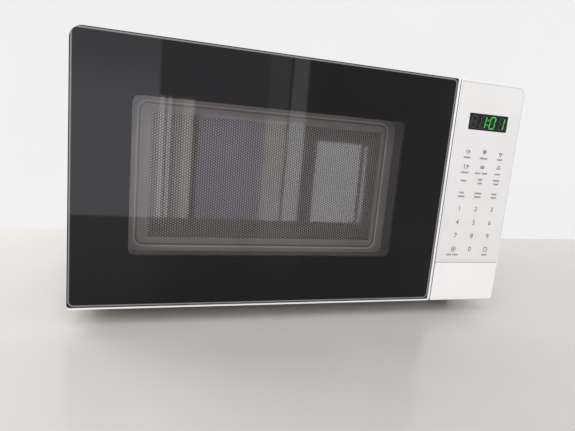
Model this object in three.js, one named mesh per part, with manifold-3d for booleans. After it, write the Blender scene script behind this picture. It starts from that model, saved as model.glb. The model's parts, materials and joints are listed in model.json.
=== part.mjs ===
// Countertop microwave oven, compact size, with a glass door and a push-button door release.
// Millimetres. +Z is up, +X is to the right of a person facing the door, and the door faces -Y.
// The origin is on the worktop, under the middle of the oven.
import * as THREE from 'three';
import { mergeVertices } from 'three/addons/utils/BufferGeometryUtils.js';
import Module from 'manifold-3d';

const wasm = await Module();
wasm.setup();

// ---- Driving dimensions ----
const WIDTH = 454;
const DEPTH = 344;
const HEIGHT = 258;
const FOOT_HEIGHT = 17;
const SHEET = 1; // steel sheet of the cabinet, base and cavity
const GAP = 0.3; // between pieces that touch

const LEFT = -WIDTH / 2;
const RIGHT = WIDTH / 2;
const FRONT = -DEPTH / 2;
const REAR = DEPTH / 2;

// The door and the control panel share the front.
const DOOR_RIGHT = 142.4;
const PANEL_LEFT = 143.4;
const FRONT_PIECE_DEPTH = 31.4;
const PIECE_BACK = FRONT + FRONT_PIECE_DEPTH;
const TOP_CORNER = 10.5;
const SMALL_CORNER = 2.5;

// Cabinet, base and back.
const PLATE_Y = FRONT + 33; // front face of the cavity's front plate
const CABINET_LEFT = LEFT + 1.4;
const CABINET_RIGHT = RIGHT - 1.4;
const CABINET_TOP = HEIGHT - 0.8;
const CABINET_BOTTOM = FOOT_HEIGHT + 1;
const CABINET_REAR = REAR - 2;
const BASE_Z = FOOT_HEIGHT + 1.2;

// Oven cavity, inside faces.
const CAVITY = { left: -204, right: 108, floor: 40, top: 238, back: 147 };
const CAVITY_FRONT = PLATE_Y + SHEET + GAP;

// Turntable.
const TABLE_X = (CAVITY.left + CAVITY.right) / 2;
const TABLE_Y = 4.5;
const TRAY_RADIUS = 122.5;
const ROLLER_RADIUS = 8.7;
const ROLLER_TRACK = 86;
const ROLLER_Z = CAVITY.floor + GAP + ROLLER_RADIUS;
const TRAY_Z = ROLLER_Z + ROLLER_RADIUS + GAP;
const ROLLER_ANGLES = [90, 210, 330];

// Door.
const GLASS_THICK = 3.2;
const GLASS_RIGHT = 139.7;
const GLASS_BOTTOM = FOOT_HEIGHT + 1.8;
const FRAME_FRONT = FRONT + GLASS_THICK + GAP;
const FRAME_WEB_BACK = FRONT + 8.4;
const WINDOW = { x0: -178.7, x1: 85.6, z0: 66, z1: 209.3 };
const CHOKE_OUTER = { x0: -213, x1: 118, z0: 27, z1: 249 };
const CHOKE_INNER = { x0: -190, x1: 94, z0: 52, z1: 226 };
const SCREEN_Y = FRONT + 21.4; // front of the perforated steel screen
const EMBOSS = { x0: -172.7, x1: 76.3, z0: 71.2, z1: 204.3 };
const HINGE = { x: LEFT + 8.5, y: FRONT + 22, pin: 2.5, clearance: 0.12, arm: 4 };
const HINGE_ARMS = [{ z: 250, pinDown: true }, { z: 23, pinDown: false }];

// Door latch and its release.
const LATCH = { x0: 126, x1: 130, bar: -161, tip: -108, noseFront: -118 };
const HOOKS = [66, 182]; // underside of each hook's shank
const HOOK_HEIGHT = 8;
const NOSE_DROP = 5;
const LEVER = { y: -127, z: 56, radius: 3.5 };
const BUTTON_TOP = 60.9;
const BUTTON_TRAVEL = 4;
const PLUNGER = { x0: 150, x1: 160, z0: 27, z1: 31 };

// Control panel.
const DISPLAY = { x0: 159.6, x1: 209.3, z0: 208, z1: 225.4 };
const PANEL_SPLIT = 61.6;
const PANEL_WALL = 2.2;
const OVERLAY = { x0: 145, x1: 225.4, z0: 63.7, z1: 256.4 };

// Cooling fan and magnetron in the component bay, beside the cavity.
const FAN = { x: 172, z: 179, radius: 43, y0: 122, y1: 140 };
const TUBE = { y: 18, z: 185 };
const WAVEGUIDE = { x1: 133, y0: -22, y1: 58, z0: 125, z1: 225 };

// Rear screws of the cabinet: side and height.
const SCREW = { head: 4, shank: 1.9, hole: 2.4 };
const SCREWS = [[-217, 70], [-217, 215], [217, 70], [217, 215]];

// ---- Solids from three.js geometry ----
function solid(geometry) {
  const bare = geometry.clone();
  bare.deleteAttribute('normal');
  bare.deleteAttribute('uv');
  const merged = mergeVertices(bare, 1e-4);
  const vertProperties = new Float32Array(merged.attributes.position.array);
  const triVerts = new Uint32Array(merged.index.array);
  return new wasm.Manifold(new wasm.Mesh({ numProp: 3, vertProperties, triVerts }));
}

function join(...parts) {
  return parts.flat(Infinity).reduce((sum, part) => sum.add(part));
}

function cut(body, ...tools) {
  return tools.flat(Infinity).reduce((rest, tool) => rest.subtract(tool), body);
}

function block(x0, x1, y0, y1, z0, z1) {
  const box = new THREE.BoxGeometry(x1 - x0, y1 - y0, z1 - z0);
  return solid(box.translate((x0 + x1) / 2, (y0 + y1) / 2, (z0 + z1) / 2));
}

const X = new THREE.Vector3(1, 0, 0);
const Y = new THREE.Vector3(0, 1, 0);
const Z = new THREE.Vector3(0, 0, 1);

// A sheet normal to Y holds (x, z), one normal to Z holds (x, y).
function sheet(normal, shape, from, to, curveSegments = 3) {
  const options = { depth: to - from, bevelEnabled: false, curveSegments };
  const geometry = new THREE.ExtrudeGeometry(shape, options);
  const turn = new THREE.Matrix4();
  if (normal === 'y') turn.makeBasis(X, Z, Y.clone().negate()).setPosition(0, to, 0);
  if (normal === 'z') turn.setPosition(0, 0, from);
  return solid(geometry.applyMatrix4(turn));
}

// A round bar along one axis. The centre is given as (y, z), (x, z) or (x, y).
function rod(axis, a, b, radius, from, to, sides = 24) {
  const geometry = new THREE.CylinderGeometry(radius, radius, to - from, sides);
  const middle = (from + to) / 2;
  if (axis === 'x') geometry.rotateZ(Math.PI / 2).translate(middle, a, b);
  if (axis === 'y') geometry.translate(a, middle, b);
  if (axis === 'z') geometry.rotateX(Math.PI / 2).translate(a, b, middle);
  return solid(geometry);
}

// A turned piece about a vertical axis, from a profile of [radius, height].
function turned(x, y, profile, segments) {
  const points = profile.map(([r, z]) => new THREE.Vector2(r, z));
  const geometry = new THREE.LatheGeometry(points, segments);
  return solid(geometry.rotateX(Math.PI / 2).translate(x, y, 0));
}

// A rectangle with rounded corners: bottom left, bottom right, top right, top left.
function roundedRect(x0, x1, y0, y1, radii) {
  const [bl, br, tr, tl] = Array.isArray(radii) ? radii : [radii, radii, radii, radii];
  const shape = new THREE.Shape();
  shape.absarc(x0 + bl, y0 + bl, bl, Math.PI, Math.PI * 1.5);
  shape.absarc(x1 - br, y0 + br, br, Math.PI * 1.5, Math.PI * 2);
  shape.absarc(x1 - tr, y1 - tr, tr, 0, Math.PI / 2);
  shape.absarc(x0 + tl, y1 - tl, tl, Math.PI / 2, Math.PI);
  return shape;
}

function rectTube(outer, inner, y0, y1) {
  return cut(
    block(outer.x0, outer.x1, y0, y1, outer.z0, outer.z1),
    block(inner.x0, inner.x1, y0 - 1, y1 + 1, inner.z0, inner.z1),
  );
}

function grow(box, by) {
  return { x0: box.x0 - by, x1: box.x1 + by, z0: box.z0 - by, z1: box.z1 + by };
}

// Every place of a grid, as [a, b].
function grid(a0, aStep, aCount, b0, bStep, bCount) {
  const places = [];
  for (let i = 0; i < aCount; i += 1) {
    for (let j = 0; j < bCount; j += 1) places.push([a0 + i * aStep, b0 + j * bStep]);
  }
  return places;
}

class Coil extends THREE.Curve {
  constructor(place, radius, length, turns) {
    super();
    Object.assign(this, { place, radius, length, turns });
  }

  getPoint(t, target = new THREE.Vector3()) {
    const angle = t * this.turns * 2 * Math.PI;
    target.set(this.radius * Math.cos(angle), this.radius * Math.sin(angle), t * this.length);
    return target.applyMatrix4(this.place);
  }
}

function coilSpring(place, radius, length, turns, wire) {
  const section = new THREE.Shape().absarc(0, 0, wire, 0, 2 * Math.PI);
  const extrudePath = new Coil(place, radius, length, turns);
  const options = { steps: turns * 8, curveSegments: 3, extrudePath };
  return solid(new THREE.ExtrudeGeometry(section, options));
}

// ---- Finishes ----
const finish = (color, roughness, metalness) => ({ color, roughness, metalness });
const WHITE_PAINT = finish(0xeae9e7, 0.45, 0);
const WHITE_PLASTIC = finish(0xe9e7e6, 0.4, 0);
const WHITE_FILM = finish(0xe6e3e2, 0.35, 0);
const CAVITY_PAINT = finish(0xd5d3ce, 0.5, 0);
const BARE_STEEL = finish(0xa9abad, 0.4, 0.9);
const SCREEN_PAINT = finish(0x3b3b3e, 0.5, 0.2);
const GREY_PLASTIC = finish(0x6d6e70, 0.55, 0);
const BLACK_PLASTIC = finish(0x1d1d1f, 0.5, 0);
const BLACK_GLASS = finish(0x1a191c, 0.08, 0);
const CLEAR_GLASS = finish(0xcfe0dc, 0.05, 0);
const RUBBER = finish(0x232323, 0.85, 0);
const MICA = finish(0xb59f72, 0.6, 0);
const COPPER = finish(0xa85c32, 0.4, 0.9);
const ALUMINIUM = finish(0xc4c6c8, 0.35, 1);
const BOARD = finish(0x2f6b3c, 0.6, 0);
const NATURAL_NYLON = finish(0xdedad0, 0.5, 0);

const oven = new THREE.Group();

function add(name, body, look) {
  const mesh = body.getMesh();
  const geometry = new THREE.BufferGeometry();
  geometry.setAttribute('position', new THREE.BufferAttribute(mesh.vertProperties, 3));
  geometry.setIndex(new THREE.BufferAttribute(mesh.triVerts, 1));
  geometry.computeVertexNormals();
  const piece = new THREE.Mesh(geometry, new THREE.MeshStandardMaterial(look));
  piece.name = name;
  oven.add(piece);
}

// ---- Casing ----
function cabinetSlots() {
  const slotLength = 30;
  const slotHeight = 3;
  const leftSide = grid(62, 38, 2, 44, 12, 6).map(([y, z]) => (
    block(CABINET_LEFT - 1, CABINET_LEFT + 2, y, y + slotLength, z, z + slotHeight)));
  const rightSide = grid(-96, 38, 2, 44, 12, 6).map(([y, z]) => (
    block(CABINET_RIGHT - 2, CABINET_RIGHT + 1, y, y + slotLength, z, z + slotHeight)));
  return [leftSide, rightSide].flat();
}

function screwHoles(y0, y1) {
  return SCREWS.map(([x, z]) => rod('y', x, z, SCREW.hole, y0, y1, 12));
}

function outerCabinet() {
  const corner = TOP_CORNER - 1;
  const radii = [0.5, 0.5, corner, corner];
  const outline = roundedRect(CABINET_LEFT, CABINET_RIGHT, CABINET_BOTTOM, CABINET_TOP, radii);
  const hollow = roundedRect(CABINET_LEFT + SHEET, CABINET_RIGHT - SHEET, CABINET_BOTTOM - 5,
    CABINET_TOP - SHEET, [0.5, 0.5, corner - SHEET, corner - SHEET]);
  const returnFlange = 14;
  const wrap = cut(
    sheet('y', outline, PLATE_Y, CABINET_REAR),
    sheet('y', hollow, PLATE_Y - 1, CABINET_REAR - SHEET),
    block(CABINET_LEFT + returnFlange, CABINET_RIGHT - returnFlange, CABINET_REAR - 2,
      CABINET_REAR + 1, 0, CABINET_TOP - returnFlange),
  );
  return cut(wrap, cabinetSlots(), screwHoles(CABINET_REAR - 3, CABINET_REAR + 1));
}

const REAR_PANEL_Y = CABINET_REAR - SHEET - GAP - SHEET;
const GLAND = { x: 188, z: 46 };

function rearPanel() {
  const inset = SHEET + 0.4;
  const corner = TOP_CORNER - 1 - inset;
  const outline = roundedRect(CABINET_LEFT + inset, CABINET_RIGHT - inset, BASE_Z + 1.6,
    CABINET_TOP - inset, [0.5, 0.5, corner, corner]);
  const panel = sheet('y', outline, REAR_PANEL_Y, REAR_PANEL_Y + SHEET);
  const y0 = REAR_PANEL_Y - 1;
  const y1 = REAR_PANEL_Y + 2;
  const fanSlots = grid(134, 8, 10, 140, 1, 1).map(([x, z]) => block(x, x + 4, y0, y1, z, z + 80));
  const outletSlots = grid(-190, 10, 10, 200, 1, 1).map(([x, z]) => (
    block(x, x + 4, y0, y1, z, z + 30)));
  const cordHole = rod('y', GLAND.x, GLAND.z, 8, y0, y1);
  return cut(panel, fanSlots, outletSlots, cordHole, screwHoles(y0, y1));
}

function basePlate() {
  const x0 = CABINET_LEFT + SHEET + 0.7;
  const x1 = CABINET_RIGHT - SHEET - 0.7;
  const flangeTop = BASE_Z + 13;
  const y0 = PLATE_Y + SHEET + 0.4;
  const y1 = REAR_PANEL_Y - 0.4;
  const pan = cut(
    block(x0, x1, y0, y1, BASE_Z, flangeTop),
    block(x0 + SHEET, x1 - SHEET, y0 - 1, y1 + 1, BASE_Z + SHEET, flangeTop + 1),
  );
  const slots = grid(126, 10, 9, 70, 1, 1).map(([x, y]) => (
    block(x, x + 3.5, y, y + 50, BASE_Z - 1, BASE_Z + 2)));
  return cut(pan, slots);
}

function foot(x, y) {
  const top = BASE_Z - GAP;
  return turned(x, y, [[0, 0], [11.5, 0], [13, 1.5], [13, 5], [10.5, top - 3], [10.5, top],
    [0, top]], 24);
}

function cordGland() {
  const y = REAR_PANEL_Y;
  const bush = join(
    rod('y', GLAND.x, GLAND.z, 7.6, y - 4, REAR - 3),
    rod('y', GLAND.x, GLAND.z, 10.5, y + SHEET + GAP, REAR),
    rod('y', GLAND.x, GLAND.z, 9.5, y - 6, y - GAP),
  );
  return cut(bush, rod('y', GLAND.x, GLAND.z, 3.6, y - 8, REAR + 1));
}

function cabinetScrew(x, z) {
  return join(
    rod('y', x, z, SCREW.shank, REAR_PANEL_Y - 6, REAR - 1, 12),
    rod('y', x, z, SCREW.head, CABINET_REAR + GAP, REAR - 0.2, 16),
  );
}

// ---- Cavity ----
function hookSlots(y0, y1) {
  return HOOKS.map((z) => block(LATCH.x0 - 2.4, LATCH.x1 + 3.5, y0, y1, z - 8, z + 12));
}

function cavityFrontPlate() {
  const y1 = PLATE_Y + SHEET;
  const plateTop = CABINET_TOP - SHEET - GAP;
  const plate = block(CABINET_LEFT + SHEET + 0.6, 147, PLATE_Y, y1, BASE_Z, plateTop);
  const mouth = roundedRect(CAVITY.left, CAVITY.right, CAVITY.floor, CAVITY.top, 6);
  const armSlots = HINGE_ARMS.map(({ z }) => (
    block(HINGE.x - 4.6, HINGE.x + 4.6, PLATE_Y - 1, y1 + 1, z - 0.4, z + 2.4)));
  const corner = new THREE.Shape([
    new THREE.Vector2(CABINET_LEFT, CABINET_TOP - TOP_CORNER),
    new THREE.Vector2(CABINET_LEFT + TOP_CORNER, CABINET_TOP),
    new THREE.Vector2(CABINET_LEFT, CABINET_TOP),
  ]);
  return cut(
    plate,
    sheet('y', mouth, PLATE_Y - 1, y1 + 1),
    sheet('y', corner, PLATE_Y - 1, y1 + 1),
    hookSlots(PLATE_Y - 1, y1 + 1),
    armSlots,
  );
}

function cavityBox() {
  const shell = cut(
    block(CAVITY.left - SHEET, CAVITY.right + SHEET, CAVITY_FRONT, CAVITY.back + SHEET,
      CAVITY.floor - SHEET, CAVITY.top + SHEET),
    block(CAVITY.left, CAVITY.right, CAVITY_FRONT - 1, CAVITY.back, CAVITY.floor, CAVITY.top),
  );
  const right = [CAVITY.right - 1, CAVITY.right + 2];
  const left = [CAVITY.left - 2, CAVITY.left + 1];
  const hole = 5;
  const port = block(...right, -12, 48, 136, 197);
  const shaftHole = rod('z', TABLE_X, TABLE_Y, 7, CAVITY.floor - 2, CAVITY.floor + 1);
  const air = grid(74, 9, 4, 186, 9, 3);
  const airInlet = air.map(([y, z]) => block(...right, y, y + hole, z, z + hole));
  const airOutlet = air.map(([y, z]) => block(...left, y, y + hole, z, z + hole));
  return cut(shell, port, shaftHole, airInlet, airOutlet);
}

function waveguide() {
  const x0 = CAVITY.right + SHEET + GAP;
  const { x1, y0, y1, z0, z1 } = WAVEGUIDE;
  return cut(
    block(x0, x1, y0, y1, z0, z1),
    block(x0 - 1, x1 - SHEET, y0 + SHEET, y1 - SHEET, z0 + SHEET, z1 - SHEET),
    rod('x', TUBE.y, TUBE.z, 11, x1 - 3, x1 + 1),
  );
}

function waveguideCover() {
  return block(CAVITY.right - GAP - 0.8, CAVITY.right - GAP, -20, 56, 128, 205);
}

function lampSocket() {
  const base = block(111, 131, 100.3, 118, 190, 210);
  const tabs = [114, 126].map((x) => block(x, x + 1.2, 117, 126, 197, 203));
  return join(base, tabs);
}

function cavityLamp() {
  const profile = [[0, 72], [3, 73], [6.5, 76], [8.4, 81], [8.4, 87], [6.8, 93], [6.8, 100], [0, 100]];
  const points = profile.map(([r, y]) => new THREE.Vector2(r, y));
  return solid(new THREE.LatheGeometry(points, 20).translate(121, 0, 200));
}

function thermalCutout() {
  const x = CAVITY.right + SHEET + GAP;
  return join(
    block(x, x + 1, -74, -46, 204, 216),
    rod('x', -60, 210, 8, x, x + 9, 20),
    block(x + 8, x + 16, -63, -61, 207, 213),
    block(x + 8, x + 16, -59, -57, 207, 213),
  );
}

// ---- High-voltage parts and cooling ----
function magnetron() {
  const x0 = WAVEGUIDE.x1 + 0.4;
  const x1 = 198;
  const { y, z } = TUBE;
  const yoke = cut(
    block(x0, x1, y - 42, y + 42, z - 35, z + 35),
    block(x0 + 4, x1 - 4, y - 50, y + 50, z - 30, z + 30),
  );
  const anode = rod('x', y, z, 19, x0 + 2, x1 - 2, 16);
  const fins = [147, 157, 167, 177, 187].map((x) => (
    block(x, x + 0.8, y - 34, y + 34, z - 31, z + 31)));
  const antenna = join(rod('x', y, z, 9, x0 - 12, x0 + 2, 16), rod('x', y, z, 6.5, 114, x0, 16));
  return join(yoke, anode, fins, antenna);
}

function magnetronFilterBox() {
  const x0 = 198.4;
  const { y, z } = TUBE;
  const can = block(x0, 221, y - 28, y + 28, z - 25, z + 25);
  const terminals = [-5, 5].map((offset) => (
    block(207, 213, y + 27, y + 40, z + offset - 0.5, z + offset + 0.5)));
  return join(can, terminals);
}

const CORE = { x: 170, y: 25, z: 56, width: 84, depth: 80, height: 68, leg: 28, windowHeight: 40 };

function transformerCore() {
  const { x, y, z, width, depth, height, leg, windowHeight } = CORE;
  const windowWidth = 14;
  const body = block(x - width / 2, x + width / 2, y - depth / 2, y + depth / 2, z - height / 2,
    z + height / 2);
  const windows = [-1, 1].map((side) => {
    const middle = x + side * (leg + windowWidth) / 2;
    return block(middle - windowWidth / 2, middle + windowWidth / 2, y - depth, y + depth,
      z - windowHeight / 2, z + windowHeight / 2);
  });
  const footPlate = block(x - 50, x + 50, y - 38, y + 38, z - height / 2 - 1.6, z - height / 2 + 1);
  return cut(join(body, footPlate), windows);
}

function transformerWindings() {
  const { x, y, z, depth, leg, windowHeight } = CORE;
  const clear = 0.4;
  const half = windowHeight / 2 - clear;
  const outer = roundedRect(x - leg / 2 - 13.4, x + leg / 2 + 13.4, y - depth / 2 - 16,
    y + depth / 2 + 16, 10);
  const inside = block(x - leg / 2 - clear, x + leg / 2 + clear, y - depth / 2 - clear,
    y + depth / 2 + clear, z - 40, z + 40);
  return cut(sheet('z', outer, z - half, z + half), inside);
}

const CAPACITOR = { x0: 152, x1: 206, z0: 21.8, z1: 53.8, y0: -118, y1: -45 };

function capacitorSection(margin) {
  const { x0, x1, z0, z1 } = CAPACITOR;
  const radius = (z1 - z0) / 2 + margin;
  return roundedRect(x0 - margin, x1 + margin, z0 - margin, z1 + margin, radius - 0.01);
}

function highVoltageCapacitor() {
  const { y0, y1 } = CAPACITOR;
  const can = sheet('y', capacitorSection(0), y0, y1);
  const terminals = [170, 188].map((x) => join(
    rod('y', x, 38, 4.5, y1 - 1, y1 + 3, 12),
    block(x - 3, x + 3, y1, y1 + 12, 37.6, 38.4),
  ));
  return join(can, terminals);
}

function capacitorClamp() {
  const band = cut(
    sheet('y', capacitorSection(1.4), -100, -82),
    sheet('y', capacitorSection(0.4), -101, -81),
  );
  return join(band, block(186, 221.5, -100, -82, 20.4, 21.4));
}

function highVoltageDiode() {
  const y = -70;
  const z = 62;
  return join(
    rod('x', y, z, 3.2, 165, 181, 12),
    rod('x', y, z, 0.7, 152, 194, 8),
    rod('z', 150, y, 4, z - 0.6, z + 0.6, 12),
    rod('z', 196, y, 4, z - 0.6, z + 0.6, 12),
  );
}

function fanHousing() {
  const { x, z, y0, y1 } = FAN;
  const plate = block(x - 52, x + 50, y1 - 1, y1 + 2, z - 52, z + 52);
  const shroud = rod('y', x, z, 48, y0 - 3, y1 + 2, 32);
  const bar = block(x - 47, x + 47, y0 - 4.5, y0 - 1.5, z - 4, z + 4);
  return cut(
    join(cut(join(plate, shroud), rod('y', x, z, 45.5, y0 - 4, y1 + 3, 32)), bar),
    rod('y', x, z, 6, y0 - 6, y0),
  );
}

function fanMotor() {
  const { x, z } = FAN;
  return join(
    block(x - 25, x + 25, 97, 117.2, z - 21, z + 21),
    block(x - 16, x + 16, 95, 115, z - 34, z - 20),
    rod('y', x, z, 9, 93, 98, 16),
  );
}

function fanBlade() {
  const { x, z, radius, y0, y1 } = FAN;
  const middle = (y0 + y1) / 2;
  const blades = [0, 1, 2, 3, 4].map((step) => {
    const blade = new THREE.BoxGeometry(radius - 8, 1.6, 30);
    blade.rotateX(THREE.MathUtils.degToRad(33));
    blade.translate(8 + (radius - 8) / 2, 0, 0);
    blade.rotateY((step * 2 * Math.PI) / 5);
    return solid(blade.translate(x, middle, z));
  });
  const swept = join(blades).intersect(rod('y', x, z, radius, y0, y1, 32));
  return join(swept, rod('y', x, z, 12, y0, y1 - 2, 20), rod('y', x, z, 2.5, 117.6, y0 + 2, 12));
}

function airDuct() {
  const outer = { x0: 134, x1: 214, z0: 142, z1: 226 };
  return rectTube(outer, grow(outer, -1.5), 66, 116.8);
}

function noiseFilterBoard() {
  const z = 235.6;
  return join(
    block(128, 216, 20, 95, z - 1.6, z),
    rod('z', 150, 40, 9, z - 1, z + 14, 16),
    block(166, 192, 32, 46, z - 1, z + 15),
    rod('x', 70, z + 4, 3.2, 150, 182, 12),
    block(153, 156, 67, 73, z - 1, z + 3),
    block(176, 179, 67, 73, z - 1, z + 3),
    block(196, 210, 30, 84, z - 1, z + 9),
  );
}

// ---- Turntable ----
function turntableMotor() {
  return join(
    rod('z', TABLE_X, TABLE_Y, 24.5, 22.4, 38.4, 32),
    block(TABLE_X - 32, TABLE_X + 32, TABLE_Y - 6, TABLE_Y + 6, 37, 38.4),
    block(TABLE_X - 9, TABLE_X + 9, TABLE_Y + 20, TABLE_Y + 31, 25, 36),
  );
}

// A bar that points outwards from the turntable's centre.
function radialBlock(angle, r0, r1, width, z0, z1) {
  const box = new THREE.BoxGeometry(r1 - r0, width, z1 - z0).translate((r0 + r1) / 2, 0, (z0 + z1) / 2);
  box.rotateZ(THREE.MathUtils.degToRad(angle));
  return solid(box.translate(TABLE_X, TABLE_Y, 0));
}

function radialRod(angle, radius, r0, r1, sides) {
  const pin = new THREE.CylinderGeometry(radius, radius, r1 - r0, sides).rotateZ(Math.PI / 2);
  pin.translate((r0 + r1) / 2, 0, ROLLER_Z).rotateZ(THREE.MathUtils.degToRad(angle));
  return solid(pin.translate(TABLE_X, TABLE_Y, 0));
}

function driveCoupler() {
  const lobes = ROLLER_ANGLES.map((angle) => radialBlock(angle, 0, 17, 7, 44, TRAY_Z - 0.6));
  return join(
    rod('z', TABLE_X, TABLE_Y, 3, 38.8, 45, 16),
    rod('z', TABLE_X, TABLE_Y, 8, 41, TRAY_Z - 2, 24),
    lobes,
  );
}

function rollerRing() {
  const ring = turned(TABLE_X, TABLE_Y, [[74, 46], [80, 46], [80, 52], [74, 52], [74, 46]], 36);
  const axles = ROLLER_ANGLES.map((angle) => join(
    radialRod(angle, 2, 78, 91.5, 12),
    radialRod(angle, 3.4, 90, 91.5, 12),
  ));
  return join(ring, axles);
}

function roller(angle) {
  const wheel = radialRod(angle, ROLLER_RADIUS, ROLLER_TRACK - 3, ROLLER_TRACK + 3, 24);
  return cut(wheel, radialRod(angle, 2.3, ROLLER_TRACK - 5, ROLLER_TRACK + 5, 16));
}

function glassTray() {
  const dish = turned(TABLE_X, TABLE_Y, [[0, TRAY_Z], [96, TRAY_Z], [118, TRAY_Z + 8],
    [TRAY_RADIUS, TRAY_Z + 10.5], [TRAY_RADIUS, TRAY_Z + 12.5], [120, TRAY_Z + 12.5],
    [94, TRAY_Z + 4.5], [0, TRAY_Z + 4.5]], 40);
  const drives = ROLLER_ANGLES.map((angle) => radialBlock(angle + 60, 11, 17, 6, TRAY_Z - 4, TRAY_Z + 1));
  return join(dish, drives);
}

// ---- Door lock and switches, behind the front plate ----
function latchBracket() {
  const y0 = PLATE_Y + SHEET + GAP;
  const flange = block(119, 139.5, y0, y0 + 2, 44, 214);
  const side = block(137, 139.5, y0, -88, 44, 214);
  const ledges = HOOKS.map((z) => block(121, 138, y0 + 1, y0 + 6, z - 16, z - NOSE_DROP - 0.5));
  return cut(
    join(cut(flange, hookSlots(y0 - 1, y0 + 3)), ledges, side),
    rod('x', LEVER.y, LEVER.z, LEVER.radius + 0.4, 136, 141),
  );
}

function doorSwitch(z) {
  const body = block(124, 134.5, -104, -88, z, z + 28);
  const button = block(127, 131, -106, -103, z + 11, z + 15);
  const terminals = [4, 13, 22].map((step) => block(127, 131, -89, -80, z + step, z + step + 0.8));
  return join(body, button, terminals);
}

function releaseLever() {
  const { y, z, radius } = LEVER;
  const axle = rod('x', y, z, radius, 124, PLUNGER.x1 - 0.4, 24);
  const inputArm = block(PLUNGER.x0 + 0.6, PLUNGER.x1 - 0.6, y - 3.2, y + 1, PLUNGER.z0 - 1, z);
  const finger = block(LATCH.x0, LATCH.x1, y, LATCH.tip + 2, z - 2, z + 1.2);
  return join(axle, inputArm, finger);
}

function releaseSpring() {
  const place = new THREE.Matrix4().makeBasis(Y, Z, X).setPosition(141, LEVER.y, LEVER.z);
  return coilSpring(place, 5, 8, 4, 0.5);
}

// ---- Control panel ----
function panelOutline(z0, bottomCorner) {
  return roundedRect(PANEL_LEFT, RIGHT, z0, HEIGHT, [bottomCorner, bottomCorner, TOP_CORNER, 1]);
}

function controlPanelHousing() {
  const skirtY = FRONT + 9.4;
  const recessY = FRONT + 20;
  const inner = { x0: PANEL_LEFT + PANEL_WALL, x1: RIGHT - PANEL_WALL };
  const upper = sheet('y', panelOutline(PANEL_SPLIT, 0.5), FRONT, PIECE_BACK);
  const lower = sheet('y', panelOutline(FOOT_HEIGHT, SMALL_CORNER), skirtY, PIECE_BACK);
  const buttonWell = block(inner.x0, inner.x1, skirtY - 1, recessY, FOOT_HEIGHT + PANEL_WALL,
    PANEL_SPLIT);
  const upperHollow = sheet('y', roundedRect(inner.x0, inner.x1, PANEL_SPLIT + PANEL_WALL,
    HEIGHT - PANEL_WALL, [0.5, 0.5, TOP_CORNER - PANEL_WALL, 0.5]), FRONT + PANEL_WALL + 1, PIECE_BACK + 1);
  const lowerHollow = block(inner.x0, inner.x1, recessY + PANEL_WALL, PIECE_BACK + 1,
    FOOT_HEIGHT + PANEL_WALL, 100);
  const overlaySeat = sheet('y', overlayOutline(GAP), FRONT - 1, FRONT + 0.9);
  const displayHole = block(DISPLAY.x0, DISPLAY.x1, FRONT - 1, FRONT + 5, DISPLAY.z0, DISPLAY.z1);
  const plungerHole = block(PLUNGER.x0 - 0.8, PLUNGER.x1 + 0.8, recessY - 1, recessY + 4,
    PLUNGER.z0 - 0.8, PLUNGER.z1 + 0.8);
  return cut(join(upper, lower), buttonWell, upperHollow, lowerHollow, overlaySeat, displayHole, plungerHole,
    guidePosts(0.6, recessY - 2, recessY + 4));
}

function overlayOutline(margin) {
  const { x0, x1, z0, z1 } = OVERLAY;
  return roundedRect(x0 - margin, x1 + margin, z0 - margin, z1 + margin, [1, 1, TOP_CORNER - 2, 1]);
}

function membraneKeypad() {
  return cut(
    sheet('y', overlayOutline(0), FRONT + 0.1, FRONT + 0.6),
    block(DISPLAY.x0, DISPLAY.x1, FRONT - 1, FRONT + 2, DISPLAY.z0, DISPLAY.z1),
  );
}

function displayWindow() {
  const { x0, x1, z0, z1 } = DISPLAY;
  return block(x0 + GAP, x1 - GAP, FRONT + 0.2, FRONT + 1.8, z0 + GAP, z1 - GAP);
}

function displayModule() {
  return block(156, 213, FRONT + 4, FRONT + 12, 204, 230);
}

function controlBoard() {
  const y = FRONT + 12.4;
  const relay = (x, z) => block(x, x + 19, y + 1, y + 16, z, z + 15);
  return join(
    block(148, 222, y, y + 1.6, 70, 250),
    relay(152, 80),
    relay(176, 80),
    block(152, 190, y + 1, y + 14, 104, 134),
    rod('y', 206, 118, 7, y + 1, y + 11, 16),
    rod('y', 162, 180, 5, y + 1, y + 13, 16),
    rod('y', 178, 180, 5, y + 1, y + 13, 16),
    block(190, 214, y + 1, y + 5, 160, 184),
  );
}

function guidePosts(margin, y0, y1) {
  const half = 2.5 + margin;
  return [[213, 26], [213, 50]].map(([x, z]) => block(x - half, x + half, y0, y1, z - half, z + half));
}

function doorOpenButton() {
  const x0 = PANEL_LEFT + 0.3;
  const x1 = RIGHT - 0.2;
  const face = sheet('y', roundedRect(x0, x1, FOOT_HEIGHT, BUTTON_TOP, [1, SMALL_CORNER, 1, 1]),
    FRONT, FRONT + 5);
  const inset = (by, y0, y1) => block(x0 + by, x1 - by, y0, y1, FOOT_HEIGHT + by, BUTTON_TOP - by);
  const skirt = inset(2.6, FRONT + 4, FRONT + 15);
  const hollow = inset(4.4, FRONT + 2, FRONT + 16);
  const plunger = block(PLUNGER.x0, PLUNGER.x1, FRONT + 1, LEVER.y - 3.6, PLUNGER.z0, PLUNGER.z1);
  return join(cut(join(face, skirt), hollow), plunger, guidePosts(0, FRONT + 1, FRONT + 26 - BUTTON_TRAVEL));
}

// ---- Door ----
function doorGlass() {
  const bevel = 0.8;
  const outline = roundedRect(LEFT + bevel, GLASS_RIGHT - bevel, GLASS_BOTTOM + bevel, HEIGHT - bevel,
    [SMALL_CORNER, 1, 1, TOP_CORNER - bevel]);
  const options = {
    depth: GLASS_THICK - 2 * bevel,
    bevelSize: bevel,
    bevelThickness: bevel,
    bevelSegments: 1,
    curveSegments: 4,
  };
  const turn = new THREE.Matrix4().makeBasis(X, Z, Y.clone().negate());
  turn.setPosition(0, FRONT + GLASS_THICK - bevel, 0);
  return solid(new THREE.ExtrudeGeometry(outline, options).applyMatrix4(turn));
}

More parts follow.
